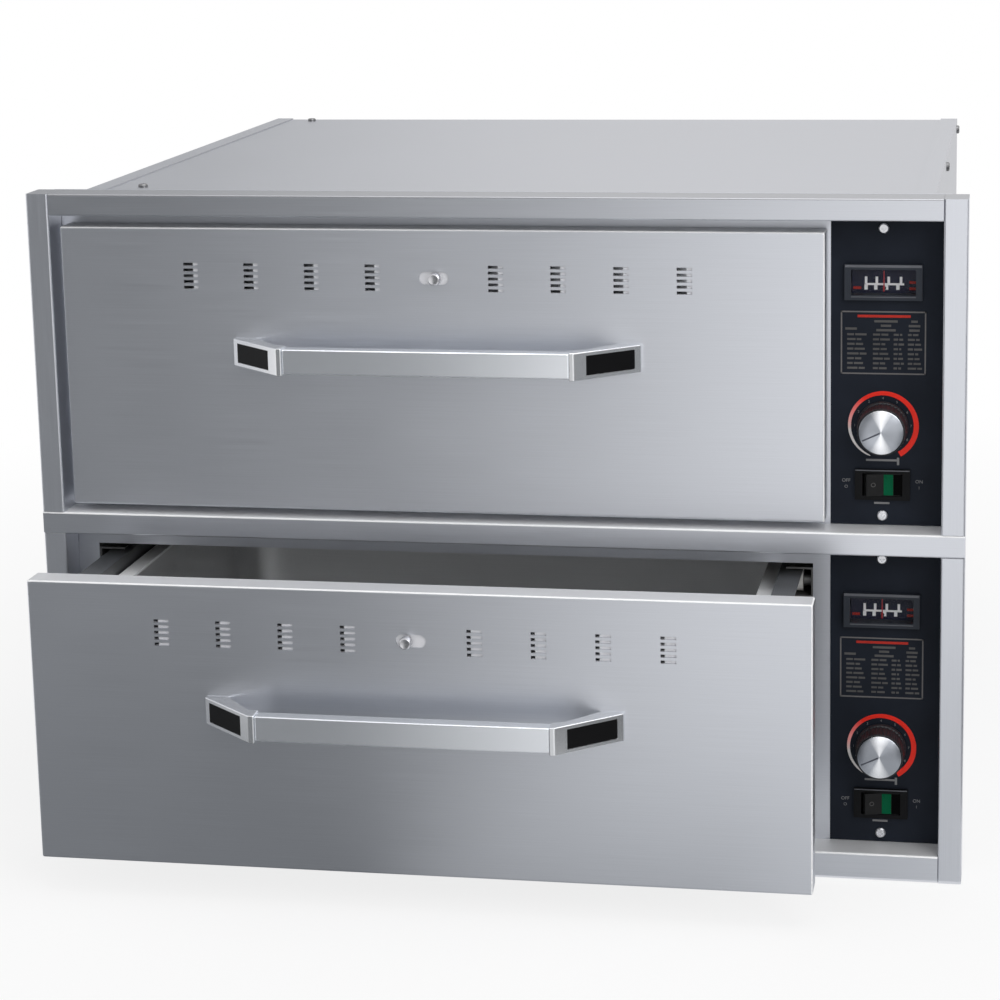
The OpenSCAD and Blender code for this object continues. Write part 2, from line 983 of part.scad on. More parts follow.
module cap(s, u) {
    x0 = bar_x;
    x1 = handle_w / 2;
    y0 = bar_y - cap_over;
    y1 = bar_y + bar_t + cap_over;
    color("silver") at_drawer(u) translate([0, 0, bar_z - cap_h / 2]) mirror([s > 0 ? 0 : 1, 0, 0]) {
        linear_extrude(height = cap_h) {
            polygon([
                [x0, y0], [x0 + cap_nose, y0], [x1, front_set - cap_edge], [x1, front_set],
                [x1 - cap_foot, front_set], [x0 + cap_heel, y1], [x0, y1]
            ]);
        }
    }
}

module cap_left_upper() {
    cap(-1, 1);
}

module cap_right_upper() {
    cap(1, 1);
}

module cap_left_lower() {
    cap(-1, 0);
}

module cap_right_lower() {
    cap(1, 0);
}

// Drawer frame: two rails, front and rear bars, and the ledge the pan rim sits on.
module frame_side() {
    head_x = roller_x1 + head_len;
    block([web_x0, web_x1], [back_y, rear_y + web_end], [web_low, rail_z + rail_t]);
    block([web_x0, roller_x1], [back_y, rear_y - rear_d / 2 - play], [rail_z, rail_z + rail_t]);
    rod_x([web_x1 - tiny, roller_x0 - slip], rear_y, rear_z, pin_d + shoulder);
    rod_x([web_x1 - tiny, head_x], rear_y, rear_z, pin_d);
    rod_x([roller_x1 + slip, head_x], rear_y, rear_z, pin_d + pin_head);
}

module frame(u) {
    color("lightgray") at_drawer(u) {
        for (m = [0, 1]) {
            mirror([m, 0, 0]) frame_side();
        }
        difference() {
            block([-web_x1, web_x1], [back_y, frame_y1], [ledge_z - sheet, ledge_z]);
            round_block([-rim_x + ledge, rim_x - ledge], [pan_y0 + ledge, pan_y1 - ledge],
                [ledge_z - sheet - cut, ledge_z + cut], pan_r);
        }
        block([-web_x1, web_x1], [back_y, back_y + sheet], [web_low, ledge_z]);
        block([-web_x1, web_x1], [frame_y1 - sheet, frame_y1], [web_low, ledge_z]);
    }
}

module frame_upper() {
    frame(1);
}

module frame_lower() {
    frame(0);
}

module pan(u) {
    body_x = rim_x - ledge - pan_slack;
    body_y = [pan_y0 + ledge + pan_slack, pan_y1 - ledge - pan_slack];
    inner_span = [-body_x + pan_t, body_x - pan_t];
    inner_run = [body_y[0] + pan_t, body_y[1] - pan_t];
    low = ledge_z - pan_h;
    color("whitesmoke") at_drawer(u) difference() {
        union() {
            round_block([-rim_x, rim_x], [pan_y0, pan_y1], [ledge_z, ledge_z + sheet], pan_r + ledge);
            round_block([-body_x, body_x], body_y, [low, ledge_z + tiny], pan_r);
        }
        round_block(inner_span, inner_run, [low + pan_t, ledge_z + sheet + cut], pan_r - pan_t);
    }
}

module pan_upper() {
    pan(1);
}

module pan_lower() {
    pan(0);
}

module rear_roller(s, u) {
    color("white") at_drawer(u) roller(rear_d, rear_y, rear_z, s);
}

module rear_roller_lu() {
    rear_roller(-1, 1);
}

module rear_roller_ru() {
    rear_roller(1, 1);
}

module rear_roller_ll() {
    rear_roller(-1, 0);
}

module rear_roller_rl() {
    rear_roller(1, 0);
}

trim_upper();
trim_mid();
trim_lower();
front_frame();
top_panel();
left_side();
right_side();
base_panel();
back_panel();
bay_left();
control_wall();
mid_shelf();
channel_lu();
channel_ru();
channel_ll();
channel_rl();
heater_upper();
heater_lower();
cord_gland();
screws();
panel_upper();
panel_lower();
thermostat_upper();
thermostat_lower();
gauge_upper();
gauge_lower();
switch_upper();
switch_lower();
knob_upper();
knob_lower();
rocker_upper();
rocker_lower();
needle_upper();
needle_lower();
front_roller_lu();
front_roller_ru();
front_roller_ll();
front_roller_rl();
front_upper();
inner_upper();
shutter_upper();
vent_knob_upper();
handle_upper();
cap_left_upper();
cap_right_upper();
frame_upper();
pan_upper();
rear_roller_lu();
rear_roller_ru();
front_lower();
inner_lower();
shutter_lower();
vent_knob_lower();
handle_lower();
cap_left_lower();
cap_right_lower();
frame_lower();
pan_lower();
rear_roller_ll();
rear_roller_rl();
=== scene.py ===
# %% [markdown]
# # A built-in food warmer with two drawers
# The real warmer is a folded stainless case behind a square trim ring. Two roller drawers with vented
# fronts and bar handles fill the left of the ring, and a black control column fills the right.
# The construction is loaded first and stays fixed. The lesson then adds finishes, folded edges,
# printed marks and small pieces, and sets up the light and the camera.

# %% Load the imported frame
import json
import math

import bmesh
import bpy
from mathutils import Matrix, Vector


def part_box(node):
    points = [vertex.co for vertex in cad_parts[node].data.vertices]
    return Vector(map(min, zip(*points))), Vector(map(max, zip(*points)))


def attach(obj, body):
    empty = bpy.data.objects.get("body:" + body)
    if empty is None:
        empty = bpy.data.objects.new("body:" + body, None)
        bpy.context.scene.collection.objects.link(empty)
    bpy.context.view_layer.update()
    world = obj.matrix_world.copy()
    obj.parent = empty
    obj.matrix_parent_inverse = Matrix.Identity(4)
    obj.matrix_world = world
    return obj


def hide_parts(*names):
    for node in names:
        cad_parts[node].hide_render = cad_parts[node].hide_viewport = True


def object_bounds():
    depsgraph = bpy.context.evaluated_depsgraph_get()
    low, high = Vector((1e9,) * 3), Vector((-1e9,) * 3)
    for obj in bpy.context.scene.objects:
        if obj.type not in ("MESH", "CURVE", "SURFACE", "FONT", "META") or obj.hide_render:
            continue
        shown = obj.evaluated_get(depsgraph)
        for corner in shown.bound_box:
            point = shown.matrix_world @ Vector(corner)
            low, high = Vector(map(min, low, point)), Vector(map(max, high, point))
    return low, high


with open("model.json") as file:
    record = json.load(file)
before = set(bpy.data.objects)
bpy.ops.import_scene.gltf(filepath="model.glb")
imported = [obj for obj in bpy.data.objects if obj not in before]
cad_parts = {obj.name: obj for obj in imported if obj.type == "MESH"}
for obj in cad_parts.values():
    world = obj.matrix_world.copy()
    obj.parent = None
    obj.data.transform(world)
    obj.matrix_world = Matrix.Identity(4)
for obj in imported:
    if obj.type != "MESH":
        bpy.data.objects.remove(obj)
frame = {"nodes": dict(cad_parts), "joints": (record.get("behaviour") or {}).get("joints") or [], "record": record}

cad_low, cad_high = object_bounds()
print("CAD box in mm:", [round(v * 1000, 1) for v in (*cad_low, *cad_high)])

# %% [markdown]
# ## Places and sizes
# Every place is read from the frame, so a piece made here sits on the solid that carries it.
# Small sizes that the frame does not give, such as a fold radius, are written in millimetres where
# they are first used and multiplied by MM.

# %% Read places from the frame
MM = 0.001
UNITS = ("upper", "lower")
joints = {joint["name"]: joint for joint in frame["joints"]}


def middle(node):
    """The middle of a solid's box."""
    low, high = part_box(node)
    return (low + high) / 2


def pivot_of(joint, unit):
    """The point that a joint of the upper or lower unit turns about."""
    return Vector(joints[f"{joint}_{unit}"]["pos_m"])


panel_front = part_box("panel_upper")[0].y
print("control plates face forward at", round(panel_front / MM, 1), "mm")

# %% [markdown]
# ## Shapes used again and again
# Sheet-metal pieces are boxes with rounded folds, and turned pieces are profiles swept round an axis.
# Modifiers could round the boxes too, but building the round straight into the mesh keeps the
# exported shape simple and gives each fold its own radius. Every piece goes through add_piece, which
# gives it its finishes and the body that it rides on, and hides the solid that it stands for.

# %% Mesh helpers
def add_box(bm, low, high):
    """A closed box between two corners. Returns its vertices."""
    low, high = Vector(low), Vector(high)
    scale = Matrix.Diagonal((*(high - low), 1))
    place = Matrix.Translation((low + high) / 2) @ scale
    return bmesh.ops.create_cube(bm, size=1, matrix=place)["verts"]


def round_edges(bm, edges, radius, steps=3):
    """Roll a set of edges over to a radius."""
    bmesh.ops.bevel(bm, geom=list(edges), offset=radius, segments=steps, profile=0.5, affect="EDGES")


def add_soft_box(bm, low, high, radius, steps=3):
    """A box with all its edges rounded."""
    corners = add_box(bm, low, high)
    round_edges(bm, {edge for vert in corners for edge in vert.link_edges}, radius, steps)


# Folds of a turned piece under this angle, in degrees, are shaded round
TURNED = 35


def profile_at(points, start):
    """A turned profile from (radius, step) pairs in millimetres, with its steps counted from a start."""
    return [(radius * MM, start + step * MM) for radius, step in points]


def add_turned(bm, profile, steps=64):
    """Turn (radius, y) points round the Y axis. A radius of 0 closes the end."""
    rings = []
    for radius, y in profile:
        count = steps if radius > 0 else 1
        turns = [2 * math.pi * k / count for k in range(count)]
        rings.append([bm.verts.new((radius * math.cos(a), y, radius * math.sin(a))) for a in turns])
    for near, far in zip(rings, rings[1:]):
        for k in range(steps):
            n = k + 1
            corners = (near[k % len(near)], near[n % len(near)], far[n % len(far)], far[k % len(far)])
            bm.faces.new(tuple(dict.fromkeys(corners)))


def join_rings(bm, rings, ends=True):
    """A face over each end of a row of closed rings of points, and quads between the rings."""
    if ends:
        bm.faces.new(rings[0])
        bm.faces.new(rings[-1])
    for near, far in zip(rings, rings[1:]):
        for k in range(len(near)):
            n = (k + 1) % len(near)
            bm.faces.new((near[k], near[n], far[n], far[k]))


def link_mesh(name, bm, finishes=()):
    """Make an object of the scene from a bmesh."""
    mesh = bpy.data.meshes.new(name)
    bm.to_mesh(mesh)
    bm.free()
    for finish in finishes:
        mesh.materials.append(finish)
    piece = bpy.data.objects.new(name, mesh)
    bpy.context.scene.collection.objects.link(piece)
    return piece


def add_piece(name, bm, finishes, body, stands_for=None, at=(0, 0, 0), smooth=0):
    """Make a named piece from a bmesh, give it its finishes and let it ride on a body.
    Folds under the smooth angle, in degrees, are shaded round."""
    bmesh.ops.recalc_face_normals(bm, faces=bm.faces)
    piece = link_mesh(name, bm, finishes)
    if smooth:
        piece.data.shade_smooth()
        piece.data.set_sharp_from_angle(angle=math.radians(smooth))
    piece.location = at
    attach(piece, body)
    if stands_for:
        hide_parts(stands_for)
    return piece


# %% [markdown]
# ## Brushed stainless steel
# Brushed sheet is metal with fine scratches in one direction. A picture could be wrapped round it,
# but a noise texture stretched along the brush gives the same lines on every face with no seams.
# A second, large noise adds the faint clouds that handling and rolling leave. The scratches change
# the colour, the roughness and a very shallow bump.

# %% Steel finish
BRUSH_LENGTH = 12
BRUSH_FINE = 1500
BRUSH_RELIEF = 0.04
BRUSH_DEPTH = 0.1 * MM
CLOUD_SCALE = 4.0
CLOUD_SHARE = 0.35
ROUGH_SPREAD = 0.14
NOISE_MIDDLE = (0.3, 0.7)
STRETCH = {
    "X": (BRUSH_LENGTH, BRUSH_FINE, BRUSH_FINE),
    "Y": (BRUSH_FINE, BRUSH_LENGTH, BRUSH_FINE),
    "Z": (BRUSH_FINE, BRUSH_FINE, BRUSH_LENGTH),
}


def blank_finish(name):
    """A material with one Principled shader, its node tree and that shader."""
    finish = bpy.data.materials.new(name)
    finish.use_nodes = True
    tree = finish.node_tree
    return finish, tree, tree.nodes["Principled BSDF"]


def feed(tree, node, inputs):
    """Link each input of a node to an output, or set it to a plain value."""
    for socket, value in inputs.items():
        if isinstance(value, bpy.types.NodeSocket):
            tree.links.new(value, node.inputs[socket])
        else:
            node.inputs[socket].default_value = value


def add_node(tree, kind, inputs=None, **settings):
    """A new node of a kind, with its settings and inputs."""
    node = tree.nodes.new("ShaderNode" + kind)
    for name, value in settings.items():
        setattr(node, name, value)
    feed(tree, node, inputs or {})
    return node


def add_math(tree, operation, *values):
    """The result of a Math node. Each value is a number or an output."""
    return add_node(tree, "Math", dict(enumerate(values)), operation=operation).outputs["Value"]


def add_noise(tree, scale, detail=2.0, stretch=(1, 1, 1)):
    """A noise texture in the object's own space, stretched by a mapping."""
    place = add_node(tree, "TexCoord").outputs["Object"]
    mapping = add_node(tree, "Mapping", {"Vector": place, "Scale": stretch}).outputs["Vector"]
    inputs = {"Vector": mapping, "Scale": scale, "Detail": detail}
    return add_node(tree, "TexNoise", inputs).outputs["Fac"]


def add_range(tree, source, low, high, span=NOISE_MIDDLE):
    """Map a span of a value, such as the middle of a noise, to a range."""
    inputs = {"Value": source, "From Min": span[0], "From Max": span[1], "To Min": low, "To Max": high}
    return add_node(tree, "MapRange", inputs).outputs["Result"]


def add_tones(tree, source, dark, light, span=NOISE_MIDDLE):
    """Colour from dark to light over a span of a value."""
    ramp = add_node(tree, "ValToRGB", {"Fac": source})
    for stop, position, tone in zip(ramp.color_ramp.elements, span, (dark, light)):
        stop.position = position
        stop.color = (*tone, 1)
    return ramp.outputs["Color"]


def add_bump(tree, shader, source, strength, depth):
    """A shallow relief from a noise."""
    bump = add_node(tree, "Bump", {"Height": source, "Strength": strength, "Distance": depth})
    feed(tree, shader, {"Normal": bump.outputs["Normal"]})


def shades(colour, share):
    """A darker and a lighter shade of a colour."""
    return [[value * (1 + way * share) for value in colour] for way in (-1, 1)]


def steel(name, tone, rough, along="X", contrast=0.05, metal=1.0, grain=1.0):
    """Brushed sheet of a grey tone, with scratches along one axis and of a given depth."""
    finish, tree, shader = blank_finish(name)
    scratch = add_noise(tree, 1.0, 3.0, STRETCH[along])
    lines = add_math(tree, "MULTIPLY", scratch, 1 - CLOUD_SHARE)
    mixed = add_math(tree, "MULTIPLY_ADD", add_noise(tree, CLOUD_SCALE), CLOUD_SHARE, lines)
    spread = ROUGH_SPREAD * rough * grain
    feed(tree, shader, {
        "Base Color": add_tones(tree, mixed, *shades(tone, contrast)),
        "Roughness": add_range(tree, mixed, rough - spread, rough + spread),
        "Metallic": metal,
    })
    add_bump(tree, shader, scratch, BRUSH_RELIEF * grain, BRUSH_DEPTH)
    return finish


STAINLESS = (0.67, 0.687, 0.732)
# The top rail is the same sheet made darker, as painted shade.
STAINLESS_PAINTED_SHADE = [0.92 * value for value in STAINLESS]
MILL = (0.47, 0.478, 0.51)
front_steel = steel("brushed front steel", STAINLESS, 0.36, "X", 0.04)
rail_steel = steel("brushed trim steel, level", STAINLESS, 0.33, "X", 0.04)
top_rail_steel = steel("brushed trim steel, top, painted shade", STAINLESS_PAINTED_SHADE, 0.33, "X", 0.04)
stile_steel = steel("brushed trim steel, upright", STAINLESS, 0.36, "Z", 0.04)
# Painted highlight: a paler, less metallic steel for upward ledges.
ledge_highlight_steel = steel("pale folded sheet steel", (0.8, 0.805, 0.82), 0.5, "X", 0.03, 0.4)
# Painted light: a less metallic copy of the front steel for the fronts' top faces.
front_top_light_steel = steel("drawer lip steel", (0.66, 0.665, 0.68), 0.5, "X", 0.03, 0.5)
# Painted highlight: a near-white, almost matte steel for rolled edges that face the light.
roll_highlight_steel = steel("bright rolled edge steel", (0.96, 0.965, 0.975), 0.5, "X", 0.02, 0.1)
# Painted shade: a darker steel for the upward faces of the top ring.
top_ledge_shade_steel = steel("dull upper edge steel", (0.37, 0.375, 0.395), 0.42, "X", 0.03)
case_steel = steel("mill finish case steel", MILL, 0.42, "X", 0.03)
side_steel = steel("mill finish side steel", MILL, 0.42, "Y", 0.03)
bay_steel = steel("dull bay steel", (0.36, 0.357, 0.35), 0.5, "Y", 0.06)
# The slides and the drawer frames are given a dark grey tone.
slide_steel = steel("dark grey slide steel", (0.2, 0.205, 0.212), 0.45, "Y")
channel_steel = steel("dull channel steel", (0.17, 0.17, 0.168), 0.5, "Y")
handle_steel = steel("brushed handle steel", (0.915, 0.94, 0.98), 0.25, "X", 0.015, 0.92, 0.2)
print("made steel finishes:", len([m for m in bpy.data.materials if "steel" in m.name]))

# %% [markdown]
# ## Black and coloured finishes
# The control plates are satin black sheet, the switches and bezels are moulded plastic with a fine
# grain, and the printed marks are ink. All of them get a little noise in colour and roughness,
# because even a black surface is never one flat value.

# %% Plastic, paint and ink finishes
GRAIN_DEPTH = 0.05 * MM
GRAIN_SPREAD = 0.05
PATCH_SCALE = 25.0


def coated(name, colour, rough, spread=0.15, grain=900.0, relief=0.05, metal=0.0, shine=0.5):
    """Paint, plastic or ink: a noise-broken colour with a fine grain."""
    finish, tree, shader = blank_finish(name)
    grains = add_noise(tree, grain)
    feed(tree, shader, {
        "Base Color": add_tones(tree, add_noise(tree, PATCH_SCALE), *shades(colour, spread)),
        "Roughness": add_range(tree, grains, rough - GRAIN_SPREAD, rough + GRAIN_SPREAD),
        "Metallic": metal,
        "Specular IOR Level": shine,
    })
    add_bump(tree, shader, grains, relief, GRAIN_DEPTH)
    return finish


plate_black = coated("satin black plate", (0.0118, 0.0153, 0.0235), 0.5, shine=0.1)
plastic_black = coated("moulded black plastic", (0.0075, 0.008, 0.0095), 0.42, shine=0.2)
# Painted highlight: pale strips on the top edges of the bezels and switch housings.
housing_highlight_grey = coated("painted highlight on housing edges", (0.1, 0.105, 0.12), 0.45, 0.2)
bezel_black = coated("grey black bezel plastic", (0.026, 0.031, 0.041), 0.42, shine=0.2)
switch_black = coated("deep black switch plastic", (0.004, 0.0042, 0.005), 0.45, shine=0.12)
inlay_black = coated("black inlay", (0.004, 0.004, 0.0045), 0.4, shine=0.12)
skirt_black = coated("satin knob plastic", (0.02, 0.0205, 0.024), 0.45, shine=0.35)
rocker_black = coated("rocker plastic", (0.009, 0.009, 0.0095), 0.4, shine=0.2)
# Painted shade: a near-black plastic for the pressed end of the rocker.
rocker_painted_shade = coated("painted shade on pressed rocker end", (0.0012, 0.0012, 0.0012), 0.5, shine=0.03)
legend_grey = coated("grey legend ink", (0.19, 0.19, 0.195), 0.5, 0.1)
border_grey = coated("border ink", (0.14, 0.135, 0.135), 0.5, 0.1, shine=0.2)
table_ink = coated("dim table ink", (0.085, 0.083, 0.082), 0.5, 0.25, shine=0.2)
pointer_ink = coated("pointer ink", (0.075, 0.08, 0.1), 0.5, 0.1, shine=0.2)
legend_white = coated("white legend ink", (0.95, 0.96, 0.98), 0.5, 0.02)
legend_red = coated("red legend ink", (0.46, 0.022, 0.012), 0.45, 0.08, shine=0.2)
needle_red = coated("red needle paint", (0.45, 0.02, 0.03), 0.45, 0.08)
green_lens = coated("green switch lens", (0.0004, 0.085, 0.034), 0.3, 0.3, 300.0, shine=0.05)
gauge_dark = coated("dark gauge card", (0.011, 0.013, 0.036), 0.4, shine=0.2)
nylon_white = coated("white nylon", (0.6, 0.59, 0.57), 0.45, 0.04)
heater_dark = coated("heat darkened tube", (0.16, 0.15, 0.145), 0.45, 0.2, 400.0, 0.05, 1.0)
thermo_plate = coated("plated thermostat case", (0.42, 0.40, 0.36), 0.4, 0.08, 400.0, 0.04, 1.0)
screw_zinc = coated("zinc plated screw", (0.55, 0.55, 0.57), 0.3, 0.06, 500.0, 0.04, 1.0)
# Painted light: the vent shutter is pale and nearly matte, so that it looks lit through the slots.
shutter_painted_light = coated("shutter painted pale, painted light", (0.8, 0.8, 0.83), 0.5, 0.04, 400.0, 0.03, 0.25)
print("made coated finishes:", len(bpy.data.materials))

# %% [markdown]
# ## Finishes with two zones
# The food pan is drawn from sheet. Its walls stay dull from the drawing tool, and the flat rim that
# lies on the drawer is painted paler and less metallic, as painted light. The screws of the black
# plates are bright, and those of the case have gone dark. Two materials on chosen faces would show
# that too, but these solids are fixed, so one material looks at where a point lies and changes past
# an edge.

# %% Make the pan and screw finishes
RIM_SHARE = 0.985
CASE_START = panel_front + 30 * MM


def past_edge(finish, space, axis, edge, dark, light, metal=None):
    """Change a finish's colour, and its metal if one is given, where a coordinate passes an edge."""
    tree = finish.node_tree
    shader = tree.nodes["Principled BSDF"]
    place = add_node(tree, "TexCoord").outputs[space]
    parts = add_node(tree, "SeparateXYZ", {"Vector": place})
    beyond = add_math(tree, "GREATER_THAN", parts.outputs[axis], edge)
    before = shader.inputs["Base Color"].links[0].from_socket
    after = add_tones(tree, add_noise(tree, 6.0), dark, light)
    mix = add_node(tree, "Mix", {"Factor": beyond, "A": before, "B": after}, data_type="RGBA")
    feed(tree, shader, {"Base Color": mix.outputs["Result"]})
    if metal is not None:
        share = add_range(tree, beyond, shader.inputs["Metallic"].default_value, metal, (0, 1))
        feed(tree, shader, {"Metallic": share})


pan_steel = steel("satin pan steel, rim painted light", (0.68, 0.685, 0.69), 0.5, "X")
# Painted light: the rim is paler and less metallic than the walls.
past_edge(pan_steel, "Generated", "Z", RIM_SHARE, (0.86, 0.865, 0.875), (0.92, 0.925, 0.935), 0.25)
case_screw = coated("zinc screw, dark on the case", (0.66, 0.665, 0.69), 0.3, 0.06, 500.0, 0.04, 1.0)
past_edge(case_screw, "Object", "Y", CASE_START, (0.17, 0.17, 0.175), (0.27, 0.27, 0.275))
print("pan rim starts at", RIM_SHARE, "of the pan's height")

# %% [markdown]
# ## Dressing the carried-over solids
# Most solids already have the right shape, so they only get a finish and a small edge round. Real
# sheet edges are never razor sharp, and the round is what catches the light. A Bevel modifier does
# that here, because it leaves the solid's own mesh untouched.

# %% Finish and soften the solids
EDGE_ROUND = 0.35 * MM
EDGE_ANGLE = math.radians(40)


def dress(node, finish):
    """Give a solid its finish and a small edge round."""
    solid = frame["nodes"][node]
    solid.data.materials.clear()
    solid.data.materials.append(finish)
    edge = solid.modifiers.new("edge round", "BEVEL")
    edge.width = EDGE_ROUND
    edge.segments = 2
    edge.limit_method = "ANGLE"
    edge.angle_limit = EDGE_ANGLE


SLOT_FINISH = {
    "face_steel": front_steel,
    "case_steel": case_steel,
    "bay_steel": bay_steel,
    "slide_steel": slide_steel,
    "heater_tube": heater_dark,
    "black_plastic": plastic_black,
    "black_plate": plate_black,
    "thermostat_case": thermo_plate,
    "rocker": rocker_black,
    "needle_red": needle_red,
    "screw_steel": case_screw,
    "nylon": nylon_white,
    "inner_steel": front_steel,
    "shutter_steel": shutter_painted_light,
    "frame_steel": slide_steel,
    "pan_steel": pan_steel,
}
NODE_FINISH = {"left_side": side_steel, "right_side": side_steel}
for corner in ("lu", "ru", "ll", "rl"):
    NODE_FINISH["channel_" + corner] = channel_steel
for unit in UNITS:
    NODE_FINISH["gauge_" + unit] = bezel_black
    NODE_FINISH["switch_" + unit] = switch_black
for part in frame["record"]["subparts"]:
    finish = SLOT_FINISH.get(part["material_slot"], front_steel)
    dress(part["node"], NODE_FINISH.get(part["node"], finish))

# %% [markdown]
# ## Trim ring
# The trim is folded from sheet: two upright stiles and a level rail meet at butt joints, and the
# rail between the drawers runs the full width. Each bar is its own box with rolled folds, left a
# hair short of its neighbour, so that the joints show as fine dark lines as they do on the real ring.
# On the middle and bottom rings the upward faces are painted paler and the upward rolls near white,
# as painted highlight. On the top ring the rail and its upward faces are painted darker, as painted
# shade.

# %% Build the trim bars
FOLD = 1.4 * MM
JOINT = 0.15 * MM
PLAY = 0.3 * MM
FLANGE_GAP = 0.1 * MM
FLAT = 0.95
ROLL = 0.25
flange_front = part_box("front_frame")[0].y - FLANGE_GAP


def add_bar(bm, low, high, axis, finish_index):
    """One folded bar in front of the flange, with rolled long edges. Its upward faces and upward rolls take
    finishes of their own, which carry painted highlight on the middle and bottom rings and painted shade on the
    top ring.
    """
    high = (high[0], flange_front, high[2])
    before = set(bm.faces)
    corners = add_box(bm, low, high)
    edges = {edge for vert in corners for edge in vert.link_edges}
    along = [e for e in edges if abs((e.verts[1].co - e.verts[0].co).normalized()[axis]) > 0.9]
    round_edges(bm, along, FOLD)
    bm.normal_update()
    for face in set(bm.faces) - before:
        up = face.normal.z
        face.material_index = 2 if up > FLAT else 3 if up > ROLL else finish_index


def trim_frame(name, node, rail_low, rail_high, rail, flat, roll):
    """Two stiles and the rail between them, for the top or the bottom of the ring."""
    low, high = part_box(node)
    bm = bmesh.new()
    add_bar(bm, low, (-trim_inner, high.y, high.z), 2, 1)
    add_bar(bm, (trim_inner, low.y, low.z), high, 2, 1)
    reach = trim_inner - JOINT
    add_bar(bm, (-reach, low.y, rail_low), (reach, high.y, rail_high), 0, 0)
    add_piece(name, bm, (rail, stile_steel, flat, roll), "cabinet", node)


trim_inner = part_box("panel_upper")[1].x + PLAY
top_rail_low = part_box("panel_upper")[1].z + PLAY
bottom_rail_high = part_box("panel_lower")[0].z - PLAY
top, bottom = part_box("trim_upper")[1].z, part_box("trim_lower")[0].z
# The top ring carries painted shade on its rail and upward faces. The bottom ring carries painted highlight on its
# upward faces and rolls.
trim_frame("trim_ring_top", "trim_upper", top_rail_low, top, top_rail_steel, top_ledge_shade_steel, top_ledge_shade_steel)
trim_frame("trim_ring_bottom", "trim_lower", bottom, bottom_rail_high, rail_steel, ledge_highlight_steel, roll_highlight_steel)
bm = bmesh.new()
low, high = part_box("trim_mid")
add_bar(bm, low + Vector((0, 0, JOINT)), high - Vector((0, 0, JOINT)), 0, 0)
finishes = (rail_steel, stile_steel, ledge_highlight_steel, roll_highlight_steel)
add_piece("trim_ring_middle", bm, finishes, "cabinet", "trim_mid")
print("trim ring is", round((high.x - low.x) / MM), "mm wide")

# %% [markdown]
# ## Drawer fronts
# Each front is a shallow folded tray with eight groups of vent slots and one long slot for the vent
# knob. Punched holes could be modelled face by face. Cutting them with a Boolean is shorter: the
# tray is a box with rolled folds, a Solidify gives it its sheet thickness, and one cutter holds all
# the slots. The evaluated result becomes the piece's mesh, so no modifier is left on it.

# %% Build the drawer fronts
SHEET = 1.2 * MM
FRONT_FOLD = 1.8 * MM
VENT_PITCH = 49.8 * MM
VENT_LENGTH = 12 * MM
VENT_HEIGHT = 2.4 * MM
VENT_STEP = 4.7 * MM
VENT_DROP = 39 * MM
KNOB_SLOT = (24 * MM, 10.5 * MM)
PUNCH = 4 * MM


def punch_tool(centre):
    """One mesh with every slot of a front, standing through the sheet."""
    bm = bmesh.new()
    for group in (-4, -3, -2, -1, 1, 2, 3, 4):
        for row in range(-2, 3):
            spot = centre + Vector((group * VENT_PITCH, 0, row * VENT_STEP))
            half = Vector((VENT_LENGTH / 2, PUNCH, VENT_HEIGHT / 2))
            add_box(bm, spot - half, spot + half)
    half = Vector((KNOB_SLOT[0] / 2, PUNCH, KNOB_SLOT[1] / 2))
    corners = add_box(bm, centre - half, centre + half)
    ends = {e for v in corners for e in v.link_edges if abs(e.verts[0].co.y - e.verts[1].co.y) > PUNCH}
    round_edges(bm, ends, KNOB_SLOT[1] / 2 - 0.01 * MM, 8)
    bmesh.ops.recalc_face_normals(bm, faces=bm.faces)
    return link_mesh("punch", bm)


def front_tray(unit):
    """The folded and punched sheet of one drawer front."""
    low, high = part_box("front_" + unit)
    bm = bmesh.new()
    add_box(bm, low, high)
    bm.normal_update()
    back = [f for f in bm.faces if f.normal.y > 0.5]
    bmesh.ops.delete(bm, geom=back, context="FACES_ONLY")
    round_edges(bm, [e for e in bm.edges if not e.is_boundary], FRONT_FOLD, 4)
    bm.normal_update()
    # Rolls that face up or to the right take near-white steel as painted highlight, and the flat top takes a less
    # metallic steel as painted light.
    for face in bm.faces:
        reach = max(face.normal.z, face.normal.x)
        face.material_index = 2 if ROLL < reach < FLAT else 1 if face.normal.z > FLAT else 0
    name = "drawer_front_" + unit
    finishes = (front_steel, front_top_light_steel, roll_highlight_steel)
    piece = add_piece(name, bm, finishes, "drawer_" + unit, "front_" + unit)
    tool = punch_tool(Vector(((low.x + high.x) / 2, low.y, high.z - VENT_DROP)))
    wall = piece.modifiers.new("sheet", "SOLIDIFY")
    wall.thickness = SHEET
    wall.offset = -1
    cut = piece.modifiers.new("slots", "BOOLEAN")
    cut.operation = "DIFFERENCE"
    cut.solver = "EXACT"
    cut.object = tool
    ready = piece.evaluated_get(bpy.context.evaluated_depsgraph_get())
    sheet = bpy.data.meshes.new_from_object(ready)
    sheet.name = name
    piece.modifiers.clear()
    piece.data = sheet
    bpy.data.objects.remove(tool)
    return piece


for unit in UNITS:
    tray = front_tray(unit)
    print(tray.name, "has", len(tray.data.polygons), "faces")

# %% [markdown]
# ## Handles
# A handle is a flat brushed bar held between two cast ends. Each end slants back to the drawer front
# and carries a black inlay in a raised rim. The end's plan is an outline of seven points, drawn up to
# its height. The slanted face is inset and pushed in to leave the rim, and the inlay is a separate
# thin plate lying in that recess. The bar's face is bowed by a millimetre, which nobody sees, but a
# bowed face sweeps over more of its surroundings, so its shine runs from dark to light along the bar.

